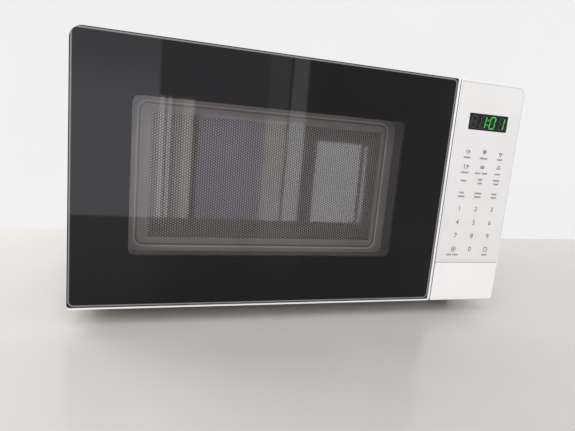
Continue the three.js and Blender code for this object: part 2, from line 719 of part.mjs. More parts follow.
function frameOutline() {
  return roundedRect(LEFT + 0.4, DOOR_RIGHT, FOOT_HEIGHT, HEIGHT - 0.4,
    [SMALL_CORNER, SMALL_CORNER, 1.5, TOP_CORNER]);
}

function frameLip() {
  return cut(
    sheet('y', frameOutline(), FRONT, FRAME_FRONT + 1),
    block(LEFT - 5, GLASS_RIGHT + GAP, FRONT - 1, FRAME_FRONT + 2, GLASS_BOTTOM - GAP, HEIGHT + 5),
  );
}

// Room for each hinge's arm as the door swings round it, and a bore for its pin.
function hingeRoom({ z, pinDown }) {
  const notch = block(LEFT - 1, HINGE.x + HINGE.arm + 0.5, HINGE.y - 6.8, PIECE_BACK + 2, z - 0.5, z + 2.5);
  const bore = rod('z', HINGE.x, HINGE.y, HINGE.pin + HINGE.clearance, pinDown ? z - 14 : z,
    pinDown ? z + 1 : z + 16);
  return [notch, bore];
}

function doorFrame() {
  const back = PIECE_BACK;
  const pocket = grow(CHOKE_OUTER, 0.4);
  const coverSeat = { ...pocket, x1: 137.4 };
  const through = (box, y0, y1) => block(box.x0, box.x1, y0, y1, box.z0, box.z1);
  const window = roundedRect(WINDOW.x0, WINDOW.x1, WINDOW.z0, WINDOW.z1, 6);
  const collar = grow(WINDOW, PANEL_WALL);
  const collarWall = through(collar, FRAME_WEB_BACK - 1, SCREEN_Y - GAP);
  const cornerChamfer = new THREE.Shape([
    new THREE.Vector2(LEFT - 1, back - 8.7),
    new THREE.Vector2(LEFT + 6, back + 0.6),
    new THREE.Vector2(LEFT - 1, back + 0.6),
  ]);
  const body = cut(
    sheet('y', frameOutline(), FRAME_FRONT, back),
    through(pocket, FRAME_WEB_BACK, back + 1),
    through(coverSeat, back - 2.9, back + 1),
    block(LATCH.x0 - 4, LATCH.x1 + 6, FRAME_WEB_BACK + 1, back + 1, 36, 206),
    sheet('z', cornerChamfer, 0, HEIGHT + 1),
    HINGE_ARMS.map(hingeRoom),
  );
  return cut(join(body, frameLip(), collarWall), sheet('y', window, FRAME_FRONT - 1, back));
}

function doorSteelPanel() {
  const plate = (box, y0, y1) => block(box.x0, box.x1, y0, y1, box.z0, box.z1);
  const face = cut(
    plate(grow(CHOKE_INNER, SHEET), SCREEN_Y, SCREEN_Y + SHEET),
    sheet('y', roundedRect(EMBOSS.x0, EMBOSS.x1, EMBOSS.z0, EMBOSS.z1, 8), SCREEN_Y - 1, SCREEN_Y + 2),
  );
  const field = grow(EMBOSS, 1);
  const chokeFront = FRAME_WEB_BACK + 0.4;
  return join(
    face,
    sheet('y', roundedRect(field.x0, field.x1, field.z0, field.z1, 9), SCREEN_Y + 0.8, SCREEN_Y + 1.8),
    rectTube(grow(CHOKE_INNER, SHEET), CHOKE_INNER, chokeFront, SCREEN_Y + SHEET),
    rectTube(CHOKE_OUTER, CHOKE_INNER, chokeFront, chokeFront + SHEET),
    rectTube(CHOKE_OUTER, grow(CHOKE_OUTER, -SHEET), chokeFront, PIECE_BACK - 3),
  );
}

function doorInnerWindow() {
  const { x0, x1, z0, z1 } = grow(CHOKE_INNER, -0.4);
  return block(x0, x1, SCREEN_Y + 2.2, SCREEN_Y + 3.2, z0, z1);
}

function chokeCover() {
  const outer = { ...CHOKE_OUTER, x1: 137 };
  const y0 = PIECE_BACK - 2.6;
  return cut(rectTube(outer, grow(CHOKE_INNER, -0.6), y0, PIECE_BACK - 1), hookSlots(y0 - 1, PIECE_BACK));
}

function latchLever() {
  const bar = block(LATCH.x0 - 1, LATCH.x1 + 1, LATCH.bar, LATCH.bar + 6, 60, 196);
  const hooks = HOOKS.map((z) => join(
    block(LATCH.x0, LATCH.x1, LATCH.bar + 5, LATCH.tip, z, z + HOOK_HEIGHT),
    block(LATCH.x0, LATCH.x1, LATCH.noseFront, LATCH.tip, z - NOSE_DROP, z + 1),
  ));
  return join(bar, hooks);
}

function latchSpring() {
  const middle = (LATCH.x0 + LATCH.x1) / 2;
  const place = new THREE.Matrix4().setPosition(middle, LATCH.bar + 3, 37.2);
  return coilSpring(place, 2.8, 21.8, 6, 0.4);
}

function hingeBracket({ z, pinDown }) {
  const leafY = PLATE_Y + SHEET + 0.4;
  const leaf = pinDown
    ? block(HINGE.x - HINGE.arm, HINGE.x + 9, leafY, leafY + 1.5, z - 24, z + 2)
    : block(HINGE.x - HINGE.arm, HINGE.x + 9, leafY, leafY + 1.5, z, z + 26);
  const arm = block(HINGE.x - HINGE.arm, HINGE.x + HINGE.arm, HINGE.y, leafY + 1, z, z + 2);
  const eye = rod('z', HINGE.x, HINGE.y, HINGE.arm, z, z + 2);
  const pin = rod('z', HINGE.x, HINGE.y, HINGE.pin, pinDown ? z - 13 : z + 1, pinDown ? z + 1 : z + 15);
  return join(leaf, arm, eye, pin);
}

// ---- Assembly ----
add('outer_cabinet', outerCabinet(), WHITE_PAINT);
add('rear_panel', rearPanel(), BARE_STEEL);
add('base_plate', basePlate(), BARE_STEEL);
add('foot_front_left', foot(-195, -115), RUBBER);
add('foot_front_right', foot(195, -115), RUBBER);
add('foot_rear_left', foot(-195, 140), RUBBER);
add('foot_rear_right', foot(195, 140), RUBBER);
add('cord_gland', cordGland(), BLACK_PLASTIC);
SCREWS.forEach(([x, z], index) => add(`cabinet_screw_${index + 1}`, cabinetScrew(x, z), BARE_STEEL));

add('cavity_front_plate', cavityFrontPlate(), CAVITY_PAINT);
add('cavity_box', cavityBox(), CAVITY_PAINT);
add('waveguide', waveguide(), BARE_STEEL);
add('waveguide_cover', waveguideCover(), MICA);
add('lamp_socket', lampSocket(), NATURAL_NYLON);
add('cavity_lamp', cavityLamp(), CLEAR_GLASS);
add('thermal_cutout', thermalCutout(), BLACK_PLASTIC);

add('magnetron', magnetron(), ALUMINIUM);
add('magnetron_filter_box', magnetronFilterBox(), BARE_STEEL);
add('transformer_core', transformerCore(), BARE_STEEL);
add('transformer_windings', transformerWindings(), COPPER);
add('high_voltage_capacitor', highVoltageCapacitor(), ALUMINIUM);
add('capacitor_clamp', capacitorClamp(), BARE_STEEL);
add('high_voltage_diode', highVoltageDiode(), BLACK_PLASTIC);
add('fan_housing', fanHousing(), GREY_PLASTIC);
add('fan_motor', fanMotor(), BARE_STEEL);
add('fan_blade', fanBlade(), NATURAL_NYLON);
add('air_duct', airDuct(), GREY_PLASTIC);
add('noise_filter_board', noiseFilterBoard(), BOARD);

add('turntable_motor', turntableMotor(), BARE_STEEL);
add('drive_coupler', driveCoupler(), NATURAL_NYLON);
add('roller_ring', rollerRing(), NATURAL_NYLON);
ROLLER_ANGLES.forEach((angle, index) => add(`roller_${index + 1}`, roller(angle), NATURAL_NYLON));
add('glass_tray', glassTray(), CLEAR_GLASS);

add('latch_bracket', latchBracket(), NATURAL_NYLON);
add('door_switch_upper', doorSwitch(172), BLACK_PLASTIC);
add('door_switch_monitor', doorSwitch(100), BLACK_PLASTIC);
add('door_switch_lower', doorSwitch(62), BLACK_PLASTIC);
add('release_lever', releaseLever(), NATURAL_NYLON);
add('release_spring', releaseSpring(), BARE_STEEL);

add('control_panel_housing', controlPanelHousing(), WHITE_PLASTIC);
add('membrane_keypad', membraneKeypad(), WHITE_FILM);
add('display_window', displayWindow(), BLACK_GLASS);
add('display_module', displayModule(), BLACK_PLASTIC);
add('control_board', controlBoard(), BOARD);
add('door_open_button', doorOpenButton(), WHITE_PLASTIC);

add('door_glass', doorGlass(), BLACK_GLASS);
add('door_frame', doorFrame(), WHITE_PLASTIC);
add('door_steel_panel', doorSteelPanel(), SCREEN_PAINT);
add('door_inner_window', doorInnerWindow(), CLEAR_GLASS);
add('choke_cover', chokeCover(), GREY_PLASTIC);
add('latch_lever', latchLever(), WHITE_PLASTIC);
add('latch_spring', latchSpring(), BARE_STEEL);
HINGE_ARMS.forEach((arm) => add(arm.pinDown ? 'upper_hinge' : 'lower_hinge', hingeBracket(arm), BARE_STEEL));

export default oven;
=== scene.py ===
"""Looks of a countertop microwave oven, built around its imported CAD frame."""

import json
from contextlib import contextmanager
from math import cos, pi, radians, sin, sqrt

import bmesh
import bpy
from mathutils import Matrix, Vector


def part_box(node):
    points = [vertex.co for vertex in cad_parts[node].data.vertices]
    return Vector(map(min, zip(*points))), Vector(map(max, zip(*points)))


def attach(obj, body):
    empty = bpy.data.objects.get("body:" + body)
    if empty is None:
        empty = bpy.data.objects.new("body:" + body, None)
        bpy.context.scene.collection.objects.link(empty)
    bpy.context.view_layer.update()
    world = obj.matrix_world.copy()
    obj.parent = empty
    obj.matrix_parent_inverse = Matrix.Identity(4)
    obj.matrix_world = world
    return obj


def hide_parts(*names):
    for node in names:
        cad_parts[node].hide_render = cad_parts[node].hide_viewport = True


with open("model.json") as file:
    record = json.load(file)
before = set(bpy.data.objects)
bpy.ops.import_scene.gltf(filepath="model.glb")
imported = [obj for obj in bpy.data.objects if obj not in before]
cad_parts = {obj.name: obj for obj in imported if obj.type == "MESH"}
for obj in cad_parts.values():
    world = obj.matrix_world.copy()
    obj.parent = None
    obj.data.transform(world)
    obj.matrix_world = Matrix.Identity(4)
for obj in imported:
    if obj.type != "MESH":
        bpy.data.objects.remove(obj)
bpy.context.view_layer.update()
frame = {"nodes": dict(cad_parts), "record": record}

MM = 0.001


# ---- Shader arithmetic ----
class Signal:
    """A node's output that takes part in Python expressions. Each operator adds its Math node."""

    def __init__(self, finish, socket):
        self.finish = finish
        self.socket = socket

    def math(self, operation, *others):
        inputs = dict(enumerate([self, *others]))
        return self.finish.node("ShaderNodeMath", {"operation": operation}, inputs)

    def __add__(self, other):
        return self.math("ADD", other)

    def __mul__(self, other):
        return self.math("MULTIPLY", other)

    def __sub__(self, other):
        return self.math("SUBTRACT", other)

    def __truediv__(self, other):
        return self.math("DIVIDE", other)

    def __rsub__(self, other):
        return self.finish.node("ShaderNodeMath", {"operation": "SUBTRACT"}, {0: other, 1: self})

    def __abs__(self):
        return self.math("ABSOLUTE")

    __radd__ = __add__
    __rmul__ = __mul__

    def lowest(self, other):
        return self.math("MINIMUM", other)

    def highest(self, other):
        return self.math("MAXIMUM", other)

    def rise(self, start, end):
        """0 below start, 1 above end and smooth between them."""
        limits = {"Value": self, "From Min": start, "From Max": end}
        return self.finish.node("ShaderNodeMapRange", {"interpolation_type": "SMOOTHSTEP"}, limits)


class Finish:
    """A material in the making. Patterns are in metres on the piece itself."""

    def __init__(self, name, kind="materials", coordinates="Object"):
        self.material = getattr(bpy.data, kind).new(name)
        self.material.use_nodes = True
        self.material.node_tree.nodes.clear()
        self.place = self.node("ShaderNodeTexCoord", output=coordinates)
        split = self.node("ShaderNodeSeparateXYZ", inputs={0: self.place}).socket.node
        self.x, self.y, self.z = [Signal(self, socket) for socket in split.outputs]

    def node(self, kind, settings=None, inputs=None, output=0):
        """One node: its settings first, then the values or links of its sockets."""
        tree = self.material.node_tree
        made = tree.nodes.new(kind)
        for name, value in (settings or {}).items():
            setattr(made, name, value)
        for name, value in (inputs or {}).items():
            if isinstance(value, Signal):
                tree.links.new(value.socket, made.inputs[name])
            else:
                made.inputs[name].default_value = value
        return Signal(self, made.outputs[output]) if made.outputs else made

    def stretched(self, x=1, y=1, z=1):
        return self.node("ShaderNodeMapping", inputs={"Vector": self.place, "Scale": (x, y, z)})

    def noise(self, size, detail=3, roughness=0.5, vector=None):
        inputs = {"Vector": vector or self.place, "Scale": 1 / size, "Detail": detail}
        return self.node("ShaderNodeTexNoise", inputs={**inputs, "Roughness": roughness})

    def cells(self, size, output="Distance", vector=None):
        inputs = {"Vector": vector or self.place, "Scale": 1 / size}
        return self.node("ShaderNodeTexVoronoi", {"feature": "F1"}, inputs, output)

    def blend(self, share, first, second):
        """A colour between two colours."""
        inputs = {0: share, 6: self.colour(first), 7: self.colour(second)}
        return self.node("ShaderNodeMix", {"data_type": "RGBA"}, inputs, 2)

    def colour(self, value):
        return value if isinstance(value, Signal) else (*value, 1)

    def inside(self, low, high, radius):
        """How deep a point lies inside a rounded rectangle seen from the front, in metres."""
        middle, half = (low + high) / 2, (high - low) / 2
        across = abs(self.x - middle.x) - (half.x - radius)
        up = abs(self.z - middle.z) - (half.z - radius)
        corner_x, corner_z = across.highest(0), up.highest(0)
        outside = (corner_x * corner_x + corner_z * corner_z).math("SQRT")
        return radius - outside - across.highest(up).lowest(0)

    def bump(self, height, depth):
        inputs = {"Height": height, "Distance": depth, "Strength": 1.0}
        return self.node("ShaderNodeBump", inputs=inputs)

    def surface(self, colour, roughness, normal=None, **others):
        """The main shader. Others name its further sockets, such as coat_weight."""
        inputs = {"Base Color": self.colour(colour), "Roughness": roughness}
        if normal:
            inputs["Normal"] = normal
        for name, value in others.items():
            inputs[name.replace("_", " ").title().replace("Ior", "IOR")] = value
        return self.node("ShaderNodeBsdfPrincipled", inputs=inputs)

    def done(self, shader, output="ShaderNodeOutputMaterial"):
        self.node(output, inputs={"Surface": shader})
        return self.material


# ---- Finishes ----
def moulded(name, light, dark, roughness, grain_size, grain_depth, dark_well=False, jointed=False):
    """Moulded plastic: flow marks in the colour, fine grain and handling marks.

    A jointed one has painted shade on the faces of the gaps beside the door and above the button, darkened
    as if no light reached into them. One with a dark well is dark where it shows behind the door's window.
    """
    f = Finish(name)
    flow = f.noise(70 * MM, detail=4)
    grain = f.noise(grain_size, detail=2)
    marks = f.noise(14 * MM, detail=6, roughness=0.65).rise(0.55, 0.75)
    colour = f.blend(flow.rise(0.3, 0.7), dark, light)
    dulled = roughness + marks * 0.1 + grain * 0.04
    if jointed:
        # Painted shade inside the gaps beside the door and above the button, as if no light reached into
        # them.
        sunk = f.y.rise(GLASS_LOW.y + 0.1 * MM, GLASS_LOW.y + 0.5 * MM)
        beside_door = 1 - abs(f.x - DOOR_GAP_X).rise(0.6 * MM, 0.9 * MM)
        on_panel = f.x.rise(142 * MM, 143 * MM)
        over_button = (1 - abs(f.z - BUTTON_GAP_Z).rise(0.6 * MM, 0.9 * MM)) * on_panel
        gap_shade = sunk * beside_door.highest(over_button)
        colour = f.blend(gap_shade * 0.9, colour, (0.1, 0.095, 0.09))
    if dark_well:
        margin = Vector((4, 0, 4)) * MM
        behind_window = f.inside(WINDOW[0] - margin, WINDOW[1] + margin, 8 * MM)
        well = behind_window.rise(-0.2 * MM, 0.2 * MM) * (1 - f.y.rise(-146.5 * MM, -146 * MM))
        colour = f.blend(well, colour, (0.035, 0.034, 0.034))
    return f.done(f.surface(colour, dulled, f.bump(grain, grain_depth)))


def cabinet_paint():
    """Baked white paint over steel, with the soft ripple of sprayed paint and a little dust low down."""
    f = Finish("cabinet_paint")
    ripple = f.noise(1.6 * MM, detail=2)
    cloud = f.noise(90 * MM, detail=4)
    scuffs = f.noise(5 * MM, detail=6, roughness=0.7, vector=f.stretched(1, 0.25, 1)).rise(0.66, 0.74)
    dust = (1 - f.z.rise(20 * MM, 70 * MM)) * f.noise(9 * MM, detail=5).rise(0.35, 0.8)
    paint = f.blend(cloud.rise(0.3, 0.7), (0.56, 0.56, 0.552), (0.6, 0.6, 0.593))
    colour = f.blend(dust * 0.22, paint, (0.38, 0.36, 0.33))
    roughness = 0.34 + scuffs * 0.12 + dust * 0.2 + cloud * 0.05
    return f.done(f.surface(colour, roughness, f.bump(ripple, 0.03 * MM), coat_weight=0.15))


def galvanised_steel():
    """Zinc-coated sheet: crystal spangle, rolling lines and dull spots."""
    f = Finish("galvanised_steel")
    spangle = f.cells(7 * MM, output="Color")
    tone = f.node("ShaderNodeSeparateColor", inputs={0: spangle})
    lines = f.noise(0.8 * MM, detail=2, vector=f.stretched(0.04, 1, 1))
    spots = f.noise(20 * MM, detail=5, roughness=0.6).rise(0.5, 0.75)
    colour = f.blend(tone * 0.6 + lines * 0.3, (0.44, 0.45, 0.46), (0.66, 0.67, 0.68))
    roughness = 0.3 + tone * 0.12 + spots * 0.18
    normal = f.bump(lines, 0.02 * MM)
    return f.done(f.surface(colour, roughness, normal, metallic=0.9))


def cavity_enamel():
    """Pale grey speckled enamel of the cooking cavity, with faint cooking film near the floor."""
    f = Finish("cavity_enamel")
    specks = 1 - f.cells(2.2 * MM).rise(0.1, 0.32)
    ripple = f.noise(2.4 * MM, detail=2)
    film = (1 - f.z.rise(45 * MM, 95 * MM)) * f.noise(16 * MM, detail=6, roughness=0.65).rise(0.4, 0.7)
    base = f.blend(f.noise(60 * MM).rise(0.3, 0.7), (0.5, 0.5, 0.48), (0.57, 0.57, 0.55))
    speckled = f.blend(specks * 0.55, base, (0.26, 0.26, 0.26))
    colour = f.blend(film * 0.25, speckled, (0.34, 0.27, 0.19))
    return f.done(f.surface(colour, 0.3 + film * 0.25 + ripple * 0.06, f.bump(ripple, 0.04 * MM)))


def screen_paint():
    """Dark grey satin paint on the door's steel panel, with painted shade in its pressed groove and a
    painted highlight on the strip beside it.
    """
    f = Finish("screen_paint")
    ripple = f.noise(1.2 * MM, detail=2)
    cloud = f.noise(45 * MM, detail=4)
    depth = f.inside(*GROOVE, GROOVE_CORNER)
    # Painted shade in the pressed groove, and a painted highlight on the strip just outside it, as light
    # falls on the step in the sheet.
    groove = depth.rise(0.2 * MM, 0.6 * MM) * (1 - depth.rise(1.5 * MM, 1.9 * MM))
    shoulder_highlight = depth.rise(-1.7 * MM, -1.2 * MM) * (1 - depth.rise(-0.2 * MM, 0.2 * MM))
    colour = f.blend(cloud.rise(0.3, 0.7), (0.165, 0.158, 0.155), (0.2, 0.193, 0.19))
    colour = f.blend(shoulder_highlight * 0.6, colour, (0.42, 0.41, 0.405))
    colour = f.blend(groove * 0.85, colour, (0.03, 0.03, 0.03))
    return f.done(f.surface(colour, 0.4 + cloud * 0.12, f.bump(ripple, 0.006 * MM)))


def mesh_paint():
    """The same paint on the perforated field, darker there than on the rest of the panel."""
    f = Finish("screen_mesh_paint")
    cloud = f.noise(30 * MM, detail=4)
    grain = f.noise(0.5 * MM, detail=2)
    colour = f.blend(cloud.rise(0.3, 0.7), (0.055, 0.053, 0.052), (0.075, 0.073, 0.071))
    normal = f.bump(grain, 0.015 * MM)
    return f.done(f.surface(colour, 0.42 + cloud * 0.1, normal, specular_ior_level=0.25))


def door_glass_finish():
    """Polished glass, black-printed on its back except for the window, with a lighter line painted round
    its edge for the shine of its polished edge.
    """
    f = Finish("door_glass")
    low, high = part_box("door_glass")
    window_low, window_high = WINDOW
    depth = f.inside(low, high, 6 * MM)
    window = f.inside(window_low, window_high, 6 * MM).rise(-0.15 * MM, 0.15 * MM)
    # Painted sheen: a lighter line just inside the outline stands for the light caught by the polished
    # edge.
    edge_sheen = depth.rise(0.9 * MM, 1.2 * MM) * (1 - depth.rise(2 * MM, 2.5 * MM))
    smears = f.noise(30 * MM, detail=6, roughness=0.62, vector=f.stretched(1, 1, 0.6)).rise(0.5, 0.8)
    dust = f.noise(0.9 * MM, detail=2).rise(0.7, 0.78)
    ink = f.blend(f.noise(50 * MM).rise(0.3, 0.7), (0.0012, 0.0012, 0.0016), (0.0022, 0.0022, 0.0028))
    colour = f.blend(edge_sheen * 0.75, ink, (0.3, 0.3, 0.3))
    colour = f.blend(dust * 0.05, colour, (0.5, 0.5, 0.48))
    roughness = 0.03 + smears * 0.05 + dust * 0.1
    ripple = f.bump(f.noise(120 * MM, detail=1), 0.08 * MM)
    printed = f.surface(colour, roughness, ripple, ior=1.37)
    through = f.node("ShaderNodeBsdfTransparent", inputs={"Color": (0.89, 0.87, 0.86, 1)})
    mirror_inputs = {"Color": (1, 1, 1, 1), "Roughness": roughness, "Normal": ripple}
    mirror = f.node("ShaderNodeBsdfAnisotropic", inputs=mirror_inputs)
    from_behind = f.node("ShaderNodeNewGeometry", output="Backfacing")
    shine = f.node("ShaderNodeFresnel", inputs={"IOR": 1.52}) * (1 - from_behind)
    clear = f.node("ShaderNodeMixShader", inputs={0: shine, 1: through, 2: mirror})
    return f.done(f.node("ShaderNodeMixShader", inputs={0: window, 1: printed, 2: clear}))


def clear_sheet(name, tint, ior, wipe_size, haze_share=0.0):
    """A thin clear pane with wiping marks on it, and an even haze where it is old."""
    f = Finish(name)
    wipes = f.noise(wipe_size, detail=5, roughness=0.6).rise(0.5, 0.8)
    through = f.node("ShaderNodeBsdfTransparent", inputs={"Color": (*tint, 1)})
    haze = f.surface((0.8, 0.82, 0.82), 0.1 + wipes * 0.25)
    from_behind = f.node("ShaderNodeNewGeometry", output="Backfacing")
    shine = f.node("ShaderNodeFresnel", inputs={"IOR": ior}) * (1 - from_behind)
    share = shine + wipes * 0.02 + haze_share
    return f.done(f.node("ShaderNodeMixShader", inputs={0: share, 1: through, 2: haze}))


def keypad_film():
    """White satin film of the keypad: fine texture, a faint swell over each key and a thin edge shadow."""
    f = Finish("keypad_film")
    low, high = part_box("membrane_keypad")
    texture = f.noise(0.35 * MM, detail=2)
    waves = f.noise(40 * MM, detail=2)
    wear = f.noise(8 * MM, detail=5, roughness=0.6).rise(0.6, 0.8)
    edge = 1 - f.inside(low, high, 1 * MM).rise(0.1 * MM, 0.3 * MM)
    film = f.blend(waves.rise(0.3, 0.7), (0.755, 0.743, 0.739), (0.785, 0.773, 0.769))
    colour = f.blend(edge * 0.25, film, (0.45, 0.44, 0.43))
    normal = f.bump(texture * 0.15 + waves, 0.06 * MM)
    return f.done(f.surface(colour, 0.36 + wear * 0.1, normal))


def display_lens():
    """Smoked lens of the clock, nearly black, with wiping marks."""
    f = Finish("display_lens")
    wipes = f.noise(9 * MM, detail=5, roughness=0.6).rise(0.5, 0.8)
    colour = f.blend(f.noise(20 * MM), (0.004, 0.005, 0.005), (0.008, 0.009, 0.009))
    return f.done(f.surface(colour, 0.07 + wipes * 0.12, ior=1.4))


def glow(name, colour, strength):
    """A clock segment: lit evenly, a little weaker towards its dusty spots."""
    f = Finish(name)
    weaker = f.noise(1.5 * MM, detail=3).rise(0.3, 0.9)
    lit = f.blend(weaker, colour, [0.8 * part for part in colour])
    emission = {"emission_color": lit, "emission_strength": strength}
    return f.done(f.surface((0.01, 0.014, 0.011), 0.3 + weaker * 0.1, **emission))


def printed_ink():
    """Dark grey legend ink, slightly uneven."""
    f = Finish("legend_ink")
    patchy = f.noise(0.6 * MM, detail=3).rise(0.35, 0.8)
    colour = f.blend(patchy, (0.012, 0.011, 0.012), (0.032, 0.03, 0.03))
    return f.done(f.surface(colour, 0.42 + patchy * 0.15))


def rubber():
    """Black rubber, dusty near the worktop."""
    f = Finish("foot_rubber")
    grain = f.noise(0.7 * MM, detail=3)
    dust = f.noise(6 * MM, detail=5).rise(0.45, 0.75) * (1 - f.z.rise(1 * MM, 12 * MM))
    colour = f.blend(dust * 0.3, (0.022, 0.022, 0.023), (0.22, 0.21, 0.19))
    return f.done(f.surface(colour, 0.72 + grain * 0.15, f.bump(grain, 0.06 * MM)))


def tray_glass():
    """Pressed clear glass with a faint green body colour and a little scratching."""
    f = Finish("tray_glass")
    scratches = f.noise(1.2 * MM, detail=4, vector=f.stretched(0.08, 1, 1)).rise(0.68, 0.74)
    ripple = f.bump(f.noise(12 * MM, detail=2), 0.1 * MM)
    through = f.node("ShaderNodeBsdfTransparent", inputs={"Color": (0.9, 0.95, 0.93, 1)})
    body = f.surface((0.6, 0.72, 0.68), 0.06 + scratches * 0.3, ripple)
    from_behind = f.node("ShaderNodeNewGeometry", output="Backfacing")
    rim = f.node("ShaderNodeLayerWeight", inputs={"Blend": 0.35}, output="Facing")
    share = (f.node("ShaderNodeFresnel", inputs={"IOR": 1.6}) * (1 - from_behind) + rim * 0.25).lowest(1)
    return f.done(f.node("ShaderNodeMixShader", inputs={0: share + scratches * 0.06, 1: through, 2: body}))


def mica():
    """Mica sheet: pale brown flakes that shine unevenly."""
    f = Finish("mica")
    flakes = f.cells(4 * MM, output="Color", vector=f.stretched(1, 1, 0.6))
    tone = f.node("ShaderNodeSeparateColor", inputs={0: flakes})
    colour = f.blend(tone, (0.42, 0.34, 0.2), (0.66, 0.56, 0.38))
    return f.done(f.surface(colour, 0.28 + tone * 0.25, f.bump(tone, 0.05 * MM)))


def cast_aluminium():
    """Bare aluminium with fine drawn lines."""
    f = Finish("aluminium")
    lines = f.noise(0.5 * MM, detail=2, vector=f.stretched(1, 0.03, 1))
    cloud = f.noise(15 * MM, detail=4)
    colour = f.blend(cloud, (0.6, 0.61, 0.62), (0.76, 0.77, 0.78))
    return f.done(f.surface(colour, 0.28 + lines * 0.16, f.bump(lines, 0.02 * MM), metallic=1.0))


def enamelled_wire():
    """Copper winding: rows of lacquered wire seen side by side."""
    f = Finish("copper_winding")
    across = (f.x * (2 * pi / (0.9 * MM))).math("SINE")
    rows = f.noise(8 * MM, detail=3)
    # The colour is darker where neighbouring wires meet and lighter on their crowns, in step with the
    # bump. This is painted shade and highlight.
    colour = f.blend(across.rise(-1, 1), (0.16, 0.045, 0.015), (0.5, 0.19, 0.07))
    return f.done(f.surface(colour, 0.25 + rows * 0.15, f.bump(across, 0.12 * MM), metallic=0.6))


def circuit_board():
    """Green lacquered board with copper tracks under the lacquer."""
    f = Finish("circuit_board")
    tracks = abs(f.noise(9 * MM, detail=1) - 0.5).rise(0.012, 0.02)
    weave = f.noise(0.5 * MM, detail=1)
    colour = f.blend(tracks, (0.09, 0.24, 0.08), (0.025, 0.11, 0.04))
    return f.done(f.surface(colour, 0.3 + weave * 0.1, f.bump(tracks, 0.03 * MM)))


def plated_screw():
    """Zinc-plated screw: fine turning marks and rubbed highlights."""
    f = Finish("plated_screw")
    rubbed = f.noise(1.4 * MM, detail=4).rise(0.45, 0.8)
    colour = f.blend(rubbed, (0.36, 0.37, 0.38), (0.62, 0.62, 0.6))
    return f.done(f.surface(colour, 0.26 + rubbed * 0.14, f.bump(rubbed, 0.02 * MM), metallic=1.0))


def worktop():
    """Pale glossy worktop."""
    f = Finish("worktop")
    cloud = f.noise(0.25, detail=4)
    fine = f.noise(6 * MM, detail=3)
    colour = f.blend(cloud.rise(0.3, 0.7), (0.575, 0.553, 0.525), (0.615, 0.593, 0.565))
    normal = f.bump(fine, 0.002 * MM)
    return f.done(f.surface(colour, 0.17 + cloud * 0.06, normal, specular_ior_level=0.3))


def backdrop_paint():
    """Even white wall, seen from its front only, so that it never stands before the oven."""
    f = Finish("backdrop_paint")
    cloud = f.noise(0.3, detail=3)
    lit = f.blend(cloud, (0.86, 0.86, 0.865), (0.9, 0.9, 0.905))
    front = f.node("ShaderNodeEmission", inputs={"Color": lit, "Strength": 1.0})
    back = f.node("ShaderNodeBsdfTransparent")
    from_behind = f.node("ShaderNodeNewGeometry", output="Backfacing")
    return f.done(f.node("ShaderNodeMixShader", inputs={0: from_behind, 1: front, 2: back}))


# ---- Modelling ----
HARD_EDGE = 40  # degrees


def deselect():
    bpy.ops.object.select_all(action="DESELECT")


def take(piece):
    """Makes piece the only selected and active object."""
    deselect()
    piece.select_set(True)
    bpy.context.view_layer.objects.active = piece


@contextmanager
def shaping(piece):
    take(piece)
    bpy.ops.object.mode_set(mode="EDIT")
    bpy.ops.mesh.select_all(action="DESELECT")
    yield
    bpy.ops.object.mode_set(mode="OBJECT")


def pick(kind, test):
    """In edit mode, selects the faces or edges whose test is true."""
    bpy.ops.mesh.select_mode(type=kind)
    bpy.ops.mesh.select_all(action="DESELECT")
    piece = bpy.context.edit_object
    mesh = bmesh.from_edit_mesh(piece.data)
    for part in mesh.faces if kind == "FACE" else mesh.edges:
        if test(part):
            part.select_set(True)
    bmesh.update_edit_mesh(piece.data)


def settle(piece):
    """Moves a piece's place, turn and size into its mesh."""
    take(piece)
    bpy.ops.object.transform_apply(location=True, rotation=True, scale=True)


def block(name, low, high):
    deselect()
    low, high = Vector(low), Vector(high)
    bpy.ops.mesh.primitive_cube_add(size=1, location=(low + high) / 2, scale=high - low)
    piece = bpy.context.object
    piece.name = name
    settle(piece)
    return piece


def along(edge, axis):
    """True if an edge runs along one axis."""
    run = edge.verts[1].co - edge.verts[0].co
    return abs(run[axis]) > 0.999 * run.length


def middle(edge):
    return (edge.verts[0].co + edge.verts[1].co) / 2


def plate(name, low, high, corners, rim, steps=8):
    """A slab seen from the front. Its corners are low left, low right, high right and high left."""
    low, high = Vector(low), Vector(high)
    piece = block(name, low, high)
    places = [(low.x, low.z), (high.x, low.z), (high.x, high.z), (low.x, high.z)]
    with shaping(piece):
        for (x, z), radius in zip(places, corners):
            corner = Vector((x, 0, z))
            pick("EDGE", lambda e: along(e, 1) and (middle(e) * Vector((1, 0, 1)) - corner).length < 1e-5)
            bpy.ops.mesh.bevel(offset=radius, segments=steps, affect="EDGES")
        pick("EDGE", lambda e: all(abs(v.co.y - low.y) < 1e-6 for v in e.verts))
        bpy.ops.mesh.bevel(offset=rim, segments=2, affect="EDGES")
    smooth(piece)
    return piece


def modify(piece, kind, **settings):
    """Adds a modifier and applies it."""
    take(piece)
    modifier = piece.modifiers.new(kind.lower(), kind)
    for name, value in settings.items():
        setattr(modifier, name, value)
    bpy.ops.object.modifier_apply(modifier=modifier.name)


def smooth(piece, angle=HARD_EDGE):
    """Smooth shading that keeps wide flat faces flat up to their rounded edges."""
    take(piece)
    if piece.data.has_custom_normals:
        bpy.ops.mesh.customdata_custom_splitnormals_clear()
    bpy.ops.object.shade_smooth_by_angle(angle=radians(angle))
    modify(piece, "WEIGHTED_NORMAL", keep_sharp=True)


def repeat(piece, count, step):
    settings = {"use_relative_offset": False, "use_constant_offset": True}
    modify(piece, "ARRAY", count=count, constant_offset_displace=step, **settings)


def cut(piece, cutter):
    modify(piece, "BOOLEAN", operation="DIFFERENCE", solver="EXACT", object=cutter)
    bpy.data.objects.remove(cutter)


